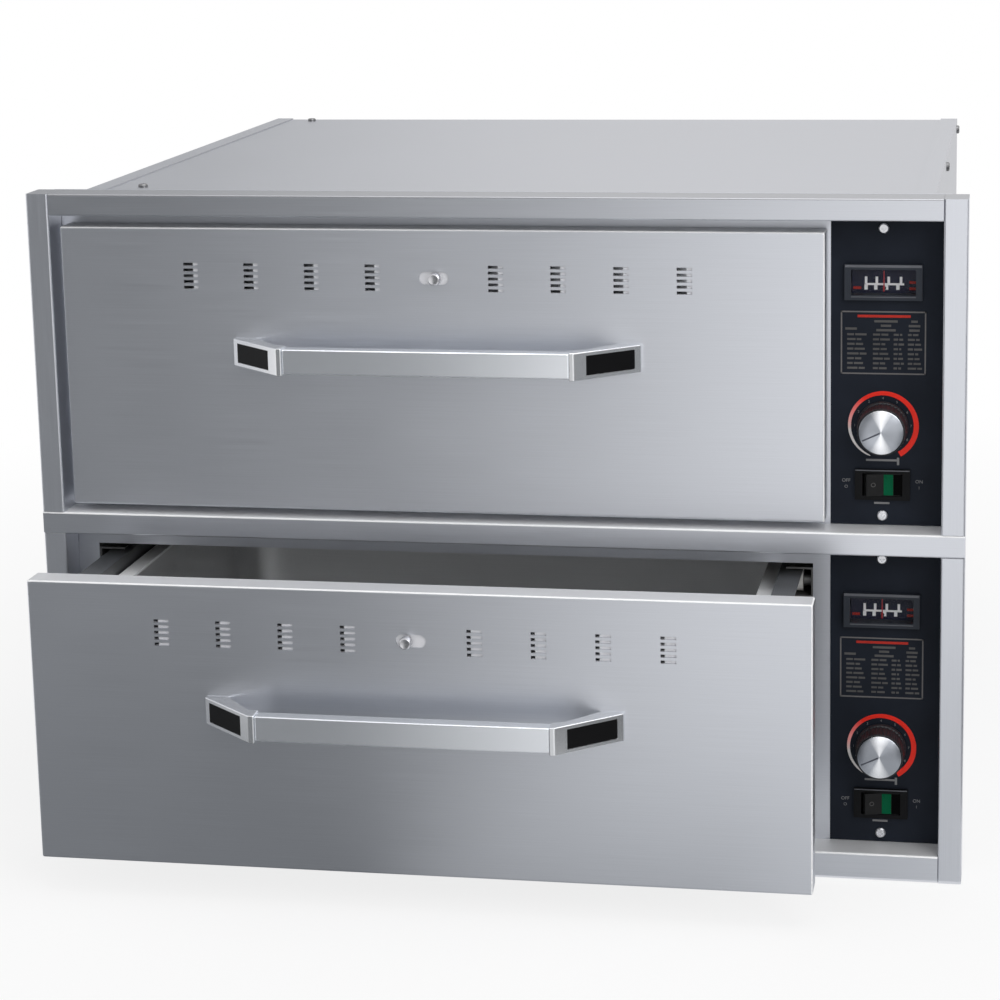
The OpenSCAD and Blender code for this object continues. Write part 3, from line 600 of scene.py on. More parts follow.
# %% Build the bars and their ends
BAR_BOW = 1 * MM
BAR_STEPS = 32
BAR_SMOOTH = 8
BAR_ROUND = 1.3 * MM
CAP_NOSE = 4 * MM
CAP_EDGE = 4 * MM
CAP_FOOT = 18 * MM
CAP_HEEL = 8 * MM
CAP_OVER = 1 * MM
CAP_ROUND = 0.7 * MM
RIM = 3.1 * MM
NOSE_RIM = 11.3 * MM
TAIL_RIM = 5.6 * MM
RECESS = 0.9 * MM
INLAY = 0.6 * MM
INLAY_GAP = 0.15 * MM
INLAY_ROUND = 0.25 * MM


def bowed_bar(low, high):
    """A bar with rolled edges, whose front stands a little further out in the middle."""
    bm = bmesh.new()
    add_soft_box(bm, low, high, BAR_ROUND)
    centre, half = (low + high) / 2, (high.x - low.x) / 2
    for step in range(1, BAR_STEPS):
        spot = (low.x + 2 * half * step / BAR_STEPS, 0, 0)
        everything = bm.verts[:] + bm.edges[:] + bm.faces[:]
        bmesh.ops.bisect_plane(bm, geom=everything, plane_co=spot, plane_no=(1, 0, 0))
    for vert in bm.verts:
        if vert.co.y < centre.y:
            vert.co.y += BAR_BOW * ((vert.co.x - centre.x) / half) ** 2
    return bm


def cap_outline(low, high, bar_back, way):
    """Plan of one end, from its bar side to its foot. The way is 1 for the right end."""
    start, stop = (low.x, high.x) if way > 0 else (high.x, low.x)
    return [
        (start, low.y), (start + way * CAP_NOSE, low.y), (stop, high.y - CAP_EDGE), (stop, high.y),
        (stop - way * CAP_FOOT, high.y), (start + way * CAP_HEEL, bar_back), (start, bar_back),
    ]


def sink_recess(bm, low, high, nose, tail):
    """Open the slanted side between two plan points and sink a rimmed recess into it."""
    along = (Vector((*tail, 0)) - Vector((*nose, 0))).normalized()
    inward = along.cross(Vector((0, 0, 1)))
    inward = inward if inward.y > 0 else -inward
    spots = [(nose, low.z), (tail, low.z), (tail, high.z), (nose, high.z)]
    outer = [min(bm.verts, key=lambda v: (v.co - Vector((*p, z))).length) for p, z in spots]
    bm.faces.remove(bm.faces.get(outer))
    moves = [(NOSE_RIM, RIM), (-TAIL_RIM, RIM), (-TAIL_RIM, -RIM), (NOSE_RIM, -RIM)]
    rim = [bm.verts.new(v.co + along * a + Vector((0, 0, b))) for v, (a, b) in zip(outer, moves)]
    floor = [bm.verts.new(v.co + inward * RECESS) for v in rim]
    join_rings(bm, (outer, rim, floor), ends=False)
    bm.faces.new(floor)
    return [v.co.copy() for v in floor], along, inward


def handle_end(unit, side):
    """One cast end with its rimmed recess, and the inlay that lies in it."""
    node = f"cap_{side}_{unit}"
    body = "drawer_" + unit
    low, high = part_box(node)
    bar_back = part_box("handle_" + unit)[1].y + CAP_OVER
    plan = cap_outline(low, high, bar_back, 1 if side == "right" else -1)
    bm = bmesh.new()
    join_rings(bm, [[bm.verts.new((x, y, z)) for x, y in plan] for z in (low.z, high.z)])
    outer = list(bm.edges)
    floor, along, inward = sink_recess(bm, low, high, plan[1], plan[2])
    bmesh.ops.recalc_face_normals(bm, faces=bm.faces)
    round_edges(bm, outer, CAP_ROUND)
    add_piece(f"handle_end_{side}_{unit}", bm, (cap_metal,), body, node)
    wide = (floor[1] - floor[0]).length / 2 - INLAY_GAP
    tall = (floor[2] - floor[1]).length / 2 - INLAY_GAP
    bm = bmesh.new()
    add_soft_box(bm, (-wide, -INLAY, -tall), (wide, 0, tall), INLAY_ROUND, 2)
    turn = Matrix((along, inward, Vector((0, 0, 1)))).transposed()
    bmesh.ops.transform(bm, matrix=turn.to_4x4(), verts=bm.verts)
    place = sum(floor, Vector()) / 4
    add_piece(f"handle_inlay_{side}_{unit}", bm, (inlay_black,), body, at=place)


cap_metal = steel("polished cast ends", (0.86, 0.87, 0.89), 0.26, "X", 0.03, grain=0.2)
for unit in UNITS:
    node = "handle_" + unit
    low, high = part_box(node)
    bm = bowed_bar(low, high)
    name, body = "handle_bar_" + unit, "drawer_" + unit
    add_piece(name, bm, (handle_steel,), body, node, smooth=BAR_SMOOTH)
    for side in ("left", "right"):
        handle_end(unit, side)
    print(name, "spans", round((high.x - low.x) / MM), "mm between its ends")

# %% [markdown]
# ## Vent knobs
# A small turned knob sticks out of the long slot and slides the vent plate behind the front. A lathe
# profile suits it: a rounded grip with a shallow dish in its face, and a thinner neck that passes
# through the slot.

# %% Turn the vent knobs
GRIP_PROFILE = (
    (0, 0.5), (2.8, 0.4), (3.8, 0), (4.5, 0.4), (4.8, 1.2), (4.8, 6.8), (4.3, 7.5),
    (3.4, 7.5), (3.4, 9.4), (2, 9.4),
)
GRIP_END = ((2, 0), (0, 0))
for unit in UNITS:
    node = "vent_knob_" + unit
    low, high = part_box(node)
    centre = middle(node)
    bm = bmesh.new()
    add_turned(bm, profile_at(GRIP_PROFILE, low.y) + profile_at(GRIP_END, high.y), 40)
    name, spot = "vent_grip_" + unit, (centre.x, 0, centre.z)
    add_piece(name, bm, (screw_zinc,), "vent_" + unit, node, spot, TURNED)
    print("vent knob", unit, "stands at x", round(centre.x / MM, 1), "mm")

# %% [markdown]
# ## Printed marks on the control plates
# The plates carry a bordered table, a heat scale round the dial and a few short legends. Ink has
# almost no thickness, so each mark is a very thin plate standing just proud of the black sheet. The
# table holds plain bars instead of words, so that it reads as a table and says nothing.

# %% Lay out the bordered table
INK = 0.15 * MM
TABLE_MIDDLE = 146 * MM
TABLE_SIZE = (66 * MM, 50 * MM)
TABLE_LINE = 1.1 * MM
TABLE_TITLE = ((0.5, 4, 41),)
TABLE_HEADS = ((2, 8, 18), (2, 11.5, 8), (2, 15, 15), (24, 8, 5), (24, 11.5, 9), (24, 15, 8), (-25, 14, 9))
TABLE_COLUMNS = ((5, 15), (25, 13), (41, 8), (52, 11))
TABLE_ROWS = 8
ROW_DROP = 18.5 * MM
ROW_PITCH = 3.8 * MM
ROW_HEIGHT = 1.6 * MM
HEAD_HEIGHT = 1.8 * MM
TITLE_HEIGHT = 2 * MM
WORD_GAP = 0.9 * MM


def add_mark(bm, x, z, width, height, face=panel_front):
    """A thin printed bar on a plate, given by its middle."""
    half = Vector((width / 2, 0, height / 2))
    add_box(bm, Vector((x, face - INK, z)) - half, Vector((x, face + INK / 2, z)) + half)


def table_lines(bm, x, top, lines, height):
    """Bars from their places across and down and their widths, in millimetres."""
    for across, drop, width in lines:
        add_mark(bm, x + across * MM, top - drop * MM, width * MM, height)


def table_rows(bm, left, top):
    """Bars of four columns, two to a place. Their lengths follow a short repeating rule."""
    for row in range(TABLE_ROWS):
        for index, (start, length) in enumerate(TABLE_COLUMNS):
            width = length * MM * (1 - 0.09 * ((row * 3 + index * 5) % 4))
            first = width * (0.35 + 0.12 * ((row * 2 + index) % 3))
            rest = width - first - WORD_GAP
            x = left + start * MM
            z = top - row * ROW_PITCH
            add_mark(bm, x + first / 2, z, first, ROW_HEIGHT)
            add_mark(bm, x + width - rest / 2, z, rest, ROW_HEIGHT)


for unit in UNITS:
    x = pivot_of("thermostat_turn", unit).x
    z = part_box("panel_" + unit)[0].z - PLAY + TABLE_MIDDLE
    wide, tall = TABLE_SIZE
    top = z + tall / 2
    bm = bmesh.new()
    for side in (-1, 1):
        add_mark(bm, x, z + side * (tall - TABLE_LINE) / 2, wide, TABLE_LINE)
        add_mark(bm, x + side * (wide - TABLE_LINE) / 2, z, TABLE_LINE, tall)
    add_piece("table_border_" + unit, bm, (border_grey,), "cabinet")
    bm = bmesh.new()
    table_lines(bm, x, top, TABLE_TITLE, TITLE_HEIGHT)
    add_piece("table_title_" + unit, bm, (legend_red,), "cabinet")
    bm = bmesh.new()
    table_lines(bm, x, top, TABLE_HEADS, HEAD_HEIGHT)
    table_rows(bm, x - wide / 2, top - ROW_DROP)
    add_piece("table_rows_" + unit, bm, (table_ink,), "cabinet")
    print("table on the", unit, "plate is", round(wide / MM), "by", round(tall / MM), "mm")

# %% [markdown]
# ## Heat scale and dial numbers
# The heat scale is a band that grows wider and redder round the dial, from a white hairline at the
# lower left to a broad red end at the lower right. A curve with a taper could draw it, but a ring of
# quads is simpler: each point's width and colour follow from how far along the band it lies.
# The colour is kept on the points and read by the ink's shader.

# %% Draw the heat scale and the numbers
SCALE_RADIUS = 26 * MM
SCALE_START = math.radians(248)
SCALE_SWEEP = math.radians(308)
SCALE_STEPS = 72
SCALE_WHITE = (0.82, 0.79, 0.77)
SCALE_RED = (0.9, 0.026, 0.012)
SCALE_TURN = 0.2
NUMBER_RADIUS = 21.9 * MM
NUMBER_SIZE = 2.8 * MM
NUMBER_STEP = 30


def scale_ink():
    """Ink that takes its colour from the points of the band."""
    finish, tree, shader = blank_finish("heat scale ink")
    tone = add_node(tree, "VertexColor", layer_name="tone").outputs["Color"]
    grain = add_tones(tree, add_noise(tree, 120.0), (0.94, 0.94, 0.94), (1, 1, 1))
    inputs = {"Factor": 1.0, "A": tone, "B": grain}
    mix = add_node(tree, "Mix", inputs, data_type="RGBA", blend_type="MULTIPLY")
    feed(tree, shader, {
        "Base Color": mix.outputs["Result"],
        "Roughness": 0.45,
        "Specular IOR Level": 0.2,
    })
    return finish


def scale_colour(share):
    """White for the first fifth, then quickly through pink to red."""
    mix = min(1, max(0, (share - SCALE_TURN) / SCALE_TURN)) ** 0.5
    return [a + (b - a) * mix for a, b in zip(SCALE_WHITE, SCALE_RED)]


def heat_scale(unit, ink):
    """A tapering band round the dial, as a thin raised ring of quads."""
    centre = pivot_of("thermostat_turn", unit)
    bm = bmesh.new()
    tone = bm.verts.layers.float_color.new("tone")
    rows = []
    for step in range(SCALE_STEPS + 1):
        share = step / SCALE_STEPS
        turn = SCALE_START - SCALE_SWEEP * share
        width = (0.5 + 3.9 * share ** 0.5) * MM
        row = []
        for radius, y in ((-0.5, INK / 2), (-0.5, -INK), (0.5, -INK), (0.5, INK / 2)):
            reach = SCALE_RADIUS + radius * width
            vert = bm.verts.new((reach * math.cos(turn), y, reach * math.sin(turn)))
            vert[tone] = (*scale_colour(share), 1)
            row.append(vert)
        rows.append(row)
    join_rings(bm, rows)
    spot = (centre.x, panel_front, centre.z)
    add_piece("heat_scale_" + unit, bm, (ink,), "cabinet", at=spot)


def add_words(bm, words, size, x, z, face=panel_front):
    """Upright lettering as thin plates, centred on a point of a plate."""
    curve = bpy.data.curves.new("letters", "FONT")
    curve.body = words
    curve.size = size
    curve.align_x = "CENTER"
    curve.align_y = "CENTER"
    curve.extrude = INK
    letters = bpy.data.objects.new("letters", curve)
    mesh = bpy.data.meshes.new_from_object(letters)
    mesh.transform(Matrix.Translation((x, face, z)) @ Matrix.Rotation(math.radians(90), 4, "X"))
    bm.from_mesh(mesh)
    bpy.data.meshes.remove(mesh)
    bpy.data.objects.remove(letters)
    bpy.data.curves.remove(curve)


scale_print = scale_ink()
for unit in UNITS:
    heat_scale(unit, scale_print)
    centre = pivot_of("thermostat_turn", unit)
    bm = bmesh.new()
    for number in range(1, 9):
        turn = math.radians(180 - NUMBER_STEP * (number - 1))
        x = centre.x + NUMBER_RADIUS * math.cos(turn)
        z = centre.z + NUMBER_RADIUS * math.sin(turn)
        add_words(bm, str(number), NUMBER_SIZE, x, z)
    add_piece("dial_numbers_" + unit, bm, (legend_grey,), "cabinet")
print("heat scale sweeps", round(math.degrees(SCALE_SWEEP)), "degrees")

# %% [markdown]
# ## Thermostat knobs
# The knob has a black moulded skirt and a spun aluminium face. Spun metal has scratches in rings, so
# its shine spreads in bright wedges from the middle. A Tangent node set to Radial turns the shader's
# stretched highlight round the knob's own axis, which is why this piece keeps its origin there. The
# face's colour also carries a painted highlight: pale at the top and bottom and darker at the sides.

# %% Turn the knobs
FLUTES = 40
FLUTE_DEPTH = 0.35 * MM
FLUTED = (18.8 * MM, 19.4 * MM)
SKIRT_LIFT = 2 * MM
SKIRT_RIM = ((0, 3), (17.4, 3), (18, 1.2), (18.6, 1.4), (19, 3))
SKIRT_FOOT = ((19.2, -4.5), (19.5, -4), (20, -3.2), (20, 0), (3, 0))
STEM_END = ((3, 0), (0, 0))
FACE_PROFILE = ((0, 0.1), (9.9, 0), (16.4, 0.05), (17.3, 0.5), (17.3, 3.1), (0, 3.1))
POINTER_HALF = 0.7 * MM
POINTER_SPAN = (1 * MM, 16 * MM)
POINTER_DEPTH = 0.6 * MM
POINTER_TURN = math.radians(-115)


def spun_aluminium():
    """Metal with ring scratches round the Y axis, and a painted highlight in its colour: a pale wedge across its
    middle, darker at the sides.
    """
    finish, tree, shader = blank_finish("spun aluminium")
    place = add_node(tree, "TexCoord").outputs["Object"]
    inputs = {"Vector": place, "Scale": 420.0, "Distortion": 3.0}
    rings = add_node(tree, "TexWave", inputs, wave_type="RINGS", rings_direction="Y")
    parts = add_node(tree, "SeparateXYZ", {"Vector": place})
    turn = add_math(tree, "ARCTAN2", parts.outputs["X"], parts.outputs["Z"])
    wedge = add_math(tree, "COSINE", add_math(tree, "MULTIPLY", turn, 2.0))
    spin = add_node(tree, "Tangent", direction_type="RADIAL", axis="Y")
    feed(tree, shader, {
        # Painted highlight: the colour is pale in a wedge at the top and bottom and dark at the sides.
        "Base Color": add_tones(tree, wedge, (0.4, 0.42, 0.46), (0.93, 0.94, 0.97), (0.45, 1.0)),
        "Roughness": add_range(tree, rings.outputs["Fac"], 0.24, 0.34),
        "Tangent": spin.outputs["Tangent"],
        "Metallic": 1.0,
        "Anisotropic": 0.85,
        "Anisotropic Rotation": 0.25,
    })
    return finish


def fluted_skirt(front, back, end):
    """The turned skirt, with flutes pressed into its side."""
    bm = bmesh.new()
    profile = profile_at(SKIRT_RIM, front) + profile_at(SKIRT_FOOT, back) + profile_at(STEM_END, end)
    add_turned(bm, profile, 4 * FLUTES)
    for vert in bm.verts:
        reach = math.hypot(vert.co.x, vert.co.z)
        if FLUTED[0] < reach < FLUTED[1]:
            flute = FLUTE_DEPTH * (math.cos(FLUTES * math.atan2(vert.co.z, vert.co.x)) - 1)
            vert.co.x *= 1 + flute / reach
            vert.co.z *= 1 + flute / reach
    return bm


spun = spun_aluminium()
for unit in UNITS:
    node, body = "knob_" + unit, "dial_knob_" + unit
    centre = pivot_of("thermostat_turn", unit)
    low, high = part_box(node)
    front = low.y - centre.y
    bm = fluted_skirt(front, panel_front - SKIRT_LIFT - centre.y, high.y - centre.y)
    add_piece("knob_skirt_" + unit, bm, (skirt_black,), body, node, centre, TURNED)
    bm = bmesh.new()
    add_turned(bm, profile_at(FACE_PROFILE, front), 96)
    add_piece("knob_face_" + unit, bm, (spun,), body, at=centre, smooth=TURNED)
    bm = bmesh.new()
    start = (-POINTER_HALF, front, POINTER_SPAN[0])
    stop = (POINTER_HALF, front + POINTER_DEPTH, POINTER_SPAN[1])
    add_soft_box(bm, start, stop, 0.15 * MM, 2)
    pointer = Matrix.Rotation(POINTER_TURN, 3, "Y")
    bmesh.ops.rotate(bm, verts=bm.verts, cent=(0, 0, 0), matrix=pointer)
    add_piece("knob_pointer_" + unit, bm, (pointer_ink,), body, at=centre)
    print("knob", unit, "stands", round((panel_front - low.y) / MM, 1), "mm out of its plate")

# %% [markdown]
# ## Thermometers
# Each thermometer is a black bezel with a window. Behind the window lies a dark card with a white
# scale, a red needle swings in front of it, and a clear lens closes it. The bezel is carried over,
# and pale strips of painted highlight lie along its top and along the lower sill of its window.
# The needle is made again as a slim pointer with a tail on a small black hub, because the solid
# needle is a sturdy bar, and a real one is a strip of painted foil.

# %% Fill the thermometer windows
WINDOW = (50 * MM, 20 * MM)
CARD_BACK = 7.9 * MM
CARD = 0.3 * MM
SCALE_DROP = 3 * MM
SCALE_BAR = (29.5 * MM, 1.6 * MM)
TICK_PROUD = 0.02 * MM
UPPER_TICKS = (-14, -5.7, 3.5, 13)
LOWER_TICKS = (-14, -6.5, 1.9, 10.6)
LIMIT_MARKS = ((-20.8, -6, 6), (22, -1.5, 5), (22, -6.4, 5))
NEEDLE_HALF = 0.55 * MM
NEEDLE_TAIL = -2.4 * MM
NEEDLE_FOIL = 0.4 * MM
HUB_PROFILE = ((0, 0.3), (1.2, 0.35), (1.5, 0.8), (1.5, 2), (1, 2))
HUB_END = ((1, 0), (0, 0))
LENS_LAP = 0.4 * MM
LENS_SPAN = (1 * MM, 2 * MM)
HIGHLIGHT_STRIP_DEPTH = 0.4 * MM
HIGHLIGHT_STRIP_INSET = 0.4 * MM
THIN_ROUND = 0.1 * MM


def lens_finish():
    """A clear lens: a thin glossy film that hides almost nothing."""
    finish, tree, shader = blank_finish("clear lens")
    haze = add_range(tree, add_noise(tree, 30.0), 0.04, 0.08)
    feed(tree, shader, {"Base Color": (0.02, 0.02, 0.025, 1), "Roughness": haze, "Alpha": 0.05})
    return finish


def gauge_card(unit, centre, face):
    """The dark card and its white scale with ticks above and below."""
    bm = bmesh.new()
    half = Vector((WINDOW[0] / 2, 0, WINDOW[1] / 2))
    spot = Vector((centre.x, face, centre.z))
    add_soft_box(bm, spot - half, spot + half + Vector((0, CARD, 0)), THIN_ROUND, 1)
    add_piece("gauge_card_" + unit, bm, (gauge_dark,), "cabinet")
    bm = bmesh.new()
    level = centre.z - SCALE_DROP
    add_mark(bm, centre.x + 0.7 * MM, level, *SCALE_BAR, face)
    rows = ((UPPER_TICKS, 3 * MM, 2 * MM, 5.8 * MM), (LOWER_TICKS, -2.3 * MM, 2.6 * MM, 4.2 * MM))
    for ticks, rise, width, height in rows:
        for step in ticks:
            add_mark(bm, centre.x + step * MM, level + rise, width, height, face - TICK_PROUD)
    add_piece("gauge_scale_" + unit, bm, (legend_white,), "cabinet")
    bm = bmesh.new()
    for step, rise, width in LIMIT_MARKS:
        add_mark(bm, centre.x + step * MM, centre.z + rise * MM, width * MM, 2 * MM, face)
    add_piece("gauge_limits_" + unit, bm, (legend_red,), "cabinet")


def gauge_needle(unit):
    """A slim pointer with a tail, and the hub that it turns on."""
    node, body = "needle_" + unit, "gauge_needle_" + unit
    low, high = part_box(node)
    pivot = pivot_of("needle_swing", unit)
    front, back, tip = low.y - pivot.y, high.y - pivot.y, high.z - pivot.z
    wide, slim = NEEDLE_HALF, 0.6 * NEEDLE_HALF
    plan = [(-wide, NEEDLE_TAIL), (wide, NEEDLE_TAIL), (slim, tip), (-slim, tip)]
    bm = bmesh.new()
    join_rings(bm, [[bm.verts.new((x, y, z)) for x, z in plan] for y in (front, front + NEEDLE_FOIL)])
    add_piece("needle_pointer_" + unit, bm, (needle_red,), body, node, pivot)
    bm = bmesh.new()
    add_turned(bm, profile_at(HUB_PROFILE, front) + profile_at(HUB_END, back), 24)
    name = "needle_hub_" + unit
    add_piece(name, bm, (plastic_black,), body, at=pivot, smooth=TURNED)


def add_rub(bm, x, half, front, proud, top, height):
    """A thin pale strip of painted highlight along the edge of a housing."""
    low = (x - half, front - proud, top - height)
    add_soft_box(bm, low, (x + half, front + HIGHLIGHT_STRIP_DEPTH, top), THIN_ROUND, 1)


clear_lens = lens_finish()
for unit in UNITS:
    low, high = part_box("gauge_" + unit)
    centre = middle("gauge_" + unit)
    gauge_card(unit, centre, panel_front + CARD_BACK - CARD)
    gauge_needle(unit)
    wide, tall = WINDOW
    shut = Vector((wide / 2 + LENS_LAP, 0, tall / 2 + LENS_LAP))
    near, far = [Vector((centre.x, low.y + step, centre.z)) for step in LENS_SPAN]
    bm = bmesh.new()
    add_soft_box(bm, near - shut, far + shut, 0.2 * MM, 1)
    add_piece("gauge_lens_" + unit, bm, (clear_lens,), "cabinet")
    # Painted highlight strips along the bezel's top and the lower sill of its window.
    bm = bmesh.new()
    edge = (high.x - low.x) / 2 - HIGHLIGHT_STRIP_INSET
    for drop, half, height in ((0.2, edge, 2.0), (25.0, wide / 2, 0.7)):
        add_rub(bm, centre.x, half, low.y, 0.12 * MM, high.z - drop * MM, height * MM)
    add_piece("gauge_edge_highlights_" + unit, bm, (housing_highlight_grey,), "cabinet")
    print("thermometer", unit, "window is", round(wide / MM), "by", round(tall / MM), "mm")

# %% [markdown]
# ## Rocker switches
# The rocker is carried over with its tilt. A green lens crosses it just right of the middle, the
# pressed end beyond it carries a near-black strip of painted shade, and the raised end carries a
# ring mark. The plate beside it says which side is off and which is on. The lens and the marks lie
# on the rocker's two sloping faces, so each is made flat, tipped by the slope of its half and then
# by the tilt of the whole rocker.

# %% Add the rocker marks and legends
ROCKER_TILT = math.radians(8)
ROCKER_TIP = 7.2 * MM
ROCKER_DIP = 5.4 * MM
ROCKER_HALF = 15 * MM
ROCKER_TALL = 8.4 * MM
LEGEND_SIDE = 7 * MM
LEGEND_RISE = 2.5 * MM
ROCKER_SLOPE = math.atan2(ROCKER_TIP - ROCKER_DIP, ROCKER_HALF)


def on_rocker(bm, way):
    """Carry a flat mark to the rocker's left (-1) or right (1) sloping face."""
    lie = Matrix.Rotation(ROCKER_TILT, 4, "Z") @ Matrix.Translation((0, -ROCKER_DIP, 0))
    lie = lie @ Matrix.Rotation(-way * ROCKER_SLOPE, 4, "Z")
    bmesh.ops.transform(bm, matrix=lie, verts=bm.verts)


def rocker_strip(name, unit, start, stop, finish, proud):
    """A strip across the right half of a rocker."""
    bm = bmesh.new()
    add_soft_box(bm, (start, -proud, -ROCKER_TALL), (stop, 0.6 * MM, ROCKER_TALL), 0.25 * MM, 2)
    on_rocker(bm, 1)
    pivot = pivot_of("switch_rock", unit)
    add_piece(f"{name}_{unit}", bm, (finish,), "switch_rocker_" + unit, at=pivot)


for unit in UNITS:
    low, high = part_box("switch_" + unit)
    centre = middle("switch_" + unit)
    pivot = pivot_of("switch_rock", unit)
    dial = pivot_of("thermostat_turn", unit)
    rocker_strip("rocker_lens", unit, 0.2 * MM, 7.6 * MM, green_lens, 0.5 * MM)
    # Painted shade on the pressed end.
    rocker_strip("rocker_end_shade", unit, 7.8 * MM, 14.9 * MM, rocker_painted_shade, 0.15 * MM)
    bm = bmesh.new()
    add_words(bm, "O", 5 * MM, -8 * MM, 0, 0)
    on_rocker(bm, -1)
    add_piece("rocker_mark_" + unit, bm, (table_ink,), "switch_rocker_" + unit, at=pivot)
    bm = bmesh.new()
    side = centre.x - low.x + LEGEND_SIDE
    for way, word, sign in ((-1, "OFF", "O"), (1, "ON", "I")):
        add_words(bm, word, 3.8 * MM, centre.x + way * side, centre.z + LEGEND_RISE)
        add_words(bm, sign, 3.4 * MM, centre.x + way * side, centre.z - LEGEND_RISE)
    add_mark(bm, centre.x - 1 * MM, dial.z - 27.6 * MM, 24 * MM, 1.6 * MM)
    add_mark(bm, centre.x + 12 * MM, dial.z - 28.4 * MM, 1.8 * MM, 6 * MM)
    add_mark(bm, centre.x - 0.5 * MM, centre.z - 15.2 * MM, 12 * MM, 1.6 * MM)
    add_piece("switch_legends_" + unit, bm, (legend_grey,), "cabinet")
    # A painted highlight strip along the top of the switch housing.
    bm = bmesh.new()
    edge = (high.x - low.x) / 2 - HIGHLIGHT_STRIP_INSET
    add_rub(bm, centre.x, edge, low.y, 0.1 * MM, high.z - 0.3 * MM, 0.9 * MM)
    add_piece("switch_edge_highlight_" + unit, bm, (housing_highlight_grey,), "cabinet")
    print("switch", unit, "rocks about x", round(pivot.x / MM, 1), "mm")

# %% [markdown]
# ## Back screws
# The back panel is held by hexagon screws with a washer face, in a row along each edge. A screw is
# two turned shapes: a round washer and a six-sided head with a chamfer. All of them go into one
# mesh, because they share a finish and never move apart.

# %% Set the back screws
WASHER_PROFILE = ((0, -0.1), (4.6, -0.1), (4.6, 0.4), (4.2, 0.8), (0, 0.8))
HEAD_PROFILE = ((0, 0.7), (3.6, 0.7), (3.6, 2.6), (3.1, 3), (0, 3))
SCREW_INSET = 14 * MM
SCREW_COLUMNS = 4
SCREW_ROWS = 3


def add_back_screw(bm, x, y, z):
    """A washer and a six-sided head that stand out from the back panel."""
    for profile, steps in ((WASHER_PROFILE, 32), (HEAD_PROFILE, 6)):
        before = set(bm.verts)
        add_turned(bm, profile_at(profile, 0), steps)
        bmesh.ops.translate(bm, verts=list(set(bm.verts) - before), vec=(x, y, z))


low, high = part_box("back_panel")
left, right = low.x + SCREW_INSET, high.x - SCREW_INSET
foot, head = low.z + SCREW_INSET, high.z - SCREW_INSET
columns = [left + (right - left) * k / (SCREW_COLUMNS - 1) for k in range(SCREW_COLUMNS)]
rows = [foot + (head - foot) * k / (SCREW_ROWS - 1) for k in range(SCREW_ROWS)]
spots = {(x, z) for x in columns for z in (foot, head)} | {(x, z) for x in (left, right) for z in rows}
bm = bmesh.new()
for x, z in sorted(spots):
    add_back_screw(bm, x, high.y, z)
add_piece("back_screws", bm, (case_screw,), "cabinet")
print("set", len(spots), "screws in the back panel")

# %% [markdown]
# ## Floor and background
# The studio is plain: a pale floor and a white background. Both are white for rays from the camera,
# from gloss and through glass, so the metal shows the same white as the picture. Near the warmer the
# floor mixes in its real shading, which keeps the shadow, and further out it turns to plain white.

# %% Build the floor and the background
AMBIENT = 0.45
FLOOR_SIZE = 14.0
FLOOR_DROP = 0.5 * MM
WHITE_NEAR = 0.82
WHITE_REACH = (0.5, 1.5)


def seen_directly(tree):
    """One for rays from the camera, gloss and glass, and zero for the rest."""
    path = add_node(tree, "LightPath")
    near = add_math(tree, "MAXIMUM", path.outputs["Is Camera Ray"], path.outputs["Is Glossy Ray"])
    return add_math(tree, "MAXIMUM", near, path.outputs["Is Transmission Ray"])


def white_world():
    """White where it is seen, and a soft even light elsewhere."""
    world = bpy.data.worlds.new("studio")
    bpy.context.scene.world = world
    world.use_nodes = True
    tree = world.node_tree
    strength = add_range(tree, seen_directly(tree), AMBIENT, 1.0, (0, 1))
    feed(tree, tree.nodes["Background"], {"Color": (1, 1, 1, 1), "Strength": strength})


def white_share(tree):
    """How much of the floor is plain white: some near the warmer, all of it further out."""
    place = add_node(tree, "TexCoord").outputs["Object"]
    reach = add_node(tree, "VectorMath", {0: place}, operation="LENGTH")
    share = add_range(tree, reach.outputs["Value"], WHITE_NEAR, 1.0, WHITE_REACH)
    return add_math(tree, "MULTIPLY", share, seen_directly(tree))


def stage_piece(name, bm, finish):
    """A piece of the studio, which is not part of the warmer."""
    piece = link_mesh(name, bm, (finish,))
    return piece


def pale_floor():
    """A wide pale floor."""
    finish, tree, shader = blank_finish("pale floor")
    tones = add_tones(tree, add_noise(tree, 2.0), (0.8, 0.8, 0.8), (0.84, 0.84, 0.84))
    feed(tree, shader, {"Base Color": tones, "Roughness": 0.9})
    glow = add_node(tree, "Emission")
    inputs = {0: white_share(tree), 1: shader.outputs["BSDF"], 2: glow.outputs["Emission"]}
    mix = add_node(tree, "MixShader", inputs)
    feed(tree, tree.nodes["Material Output"], {"Surface": mix.outputs["Shader"]})
    bm = bmesh.new()
    bmesh.ops.create_grid(bm, x_segments=1, y_segments=1, size=FLOOR_SIZE / 2)
    floor = stage_piece("floor", bm, finish)
    floor.location.z = cad_low.z - FLOOR_DROP
    return floor


scene = bpy.context.scene
white_world()
floor = pale_floor()
scene.view_settings.view_transform = "Standard"
print("floor lies at", round(floor.location.z / MM, 1), "mm")

# %% [markdown]
# ## Reflector cards and softboxes
# Brushed steel shows its surroundings, so what stands round it decides how it looks. A wide graded
# card, dark on the left and light on the right, lies in front of the warmer and rises behind the
# camera. Only reflections see it, and it makes the fronts run from dark to light. Its far left end is
# white, for the left ends of the handles. A grey card at the right, part lying and part standing, and
# a small flag beside the lower handle calm the right ends, and a card at the rear grades the case
# top. Two softboxes give the light itself.

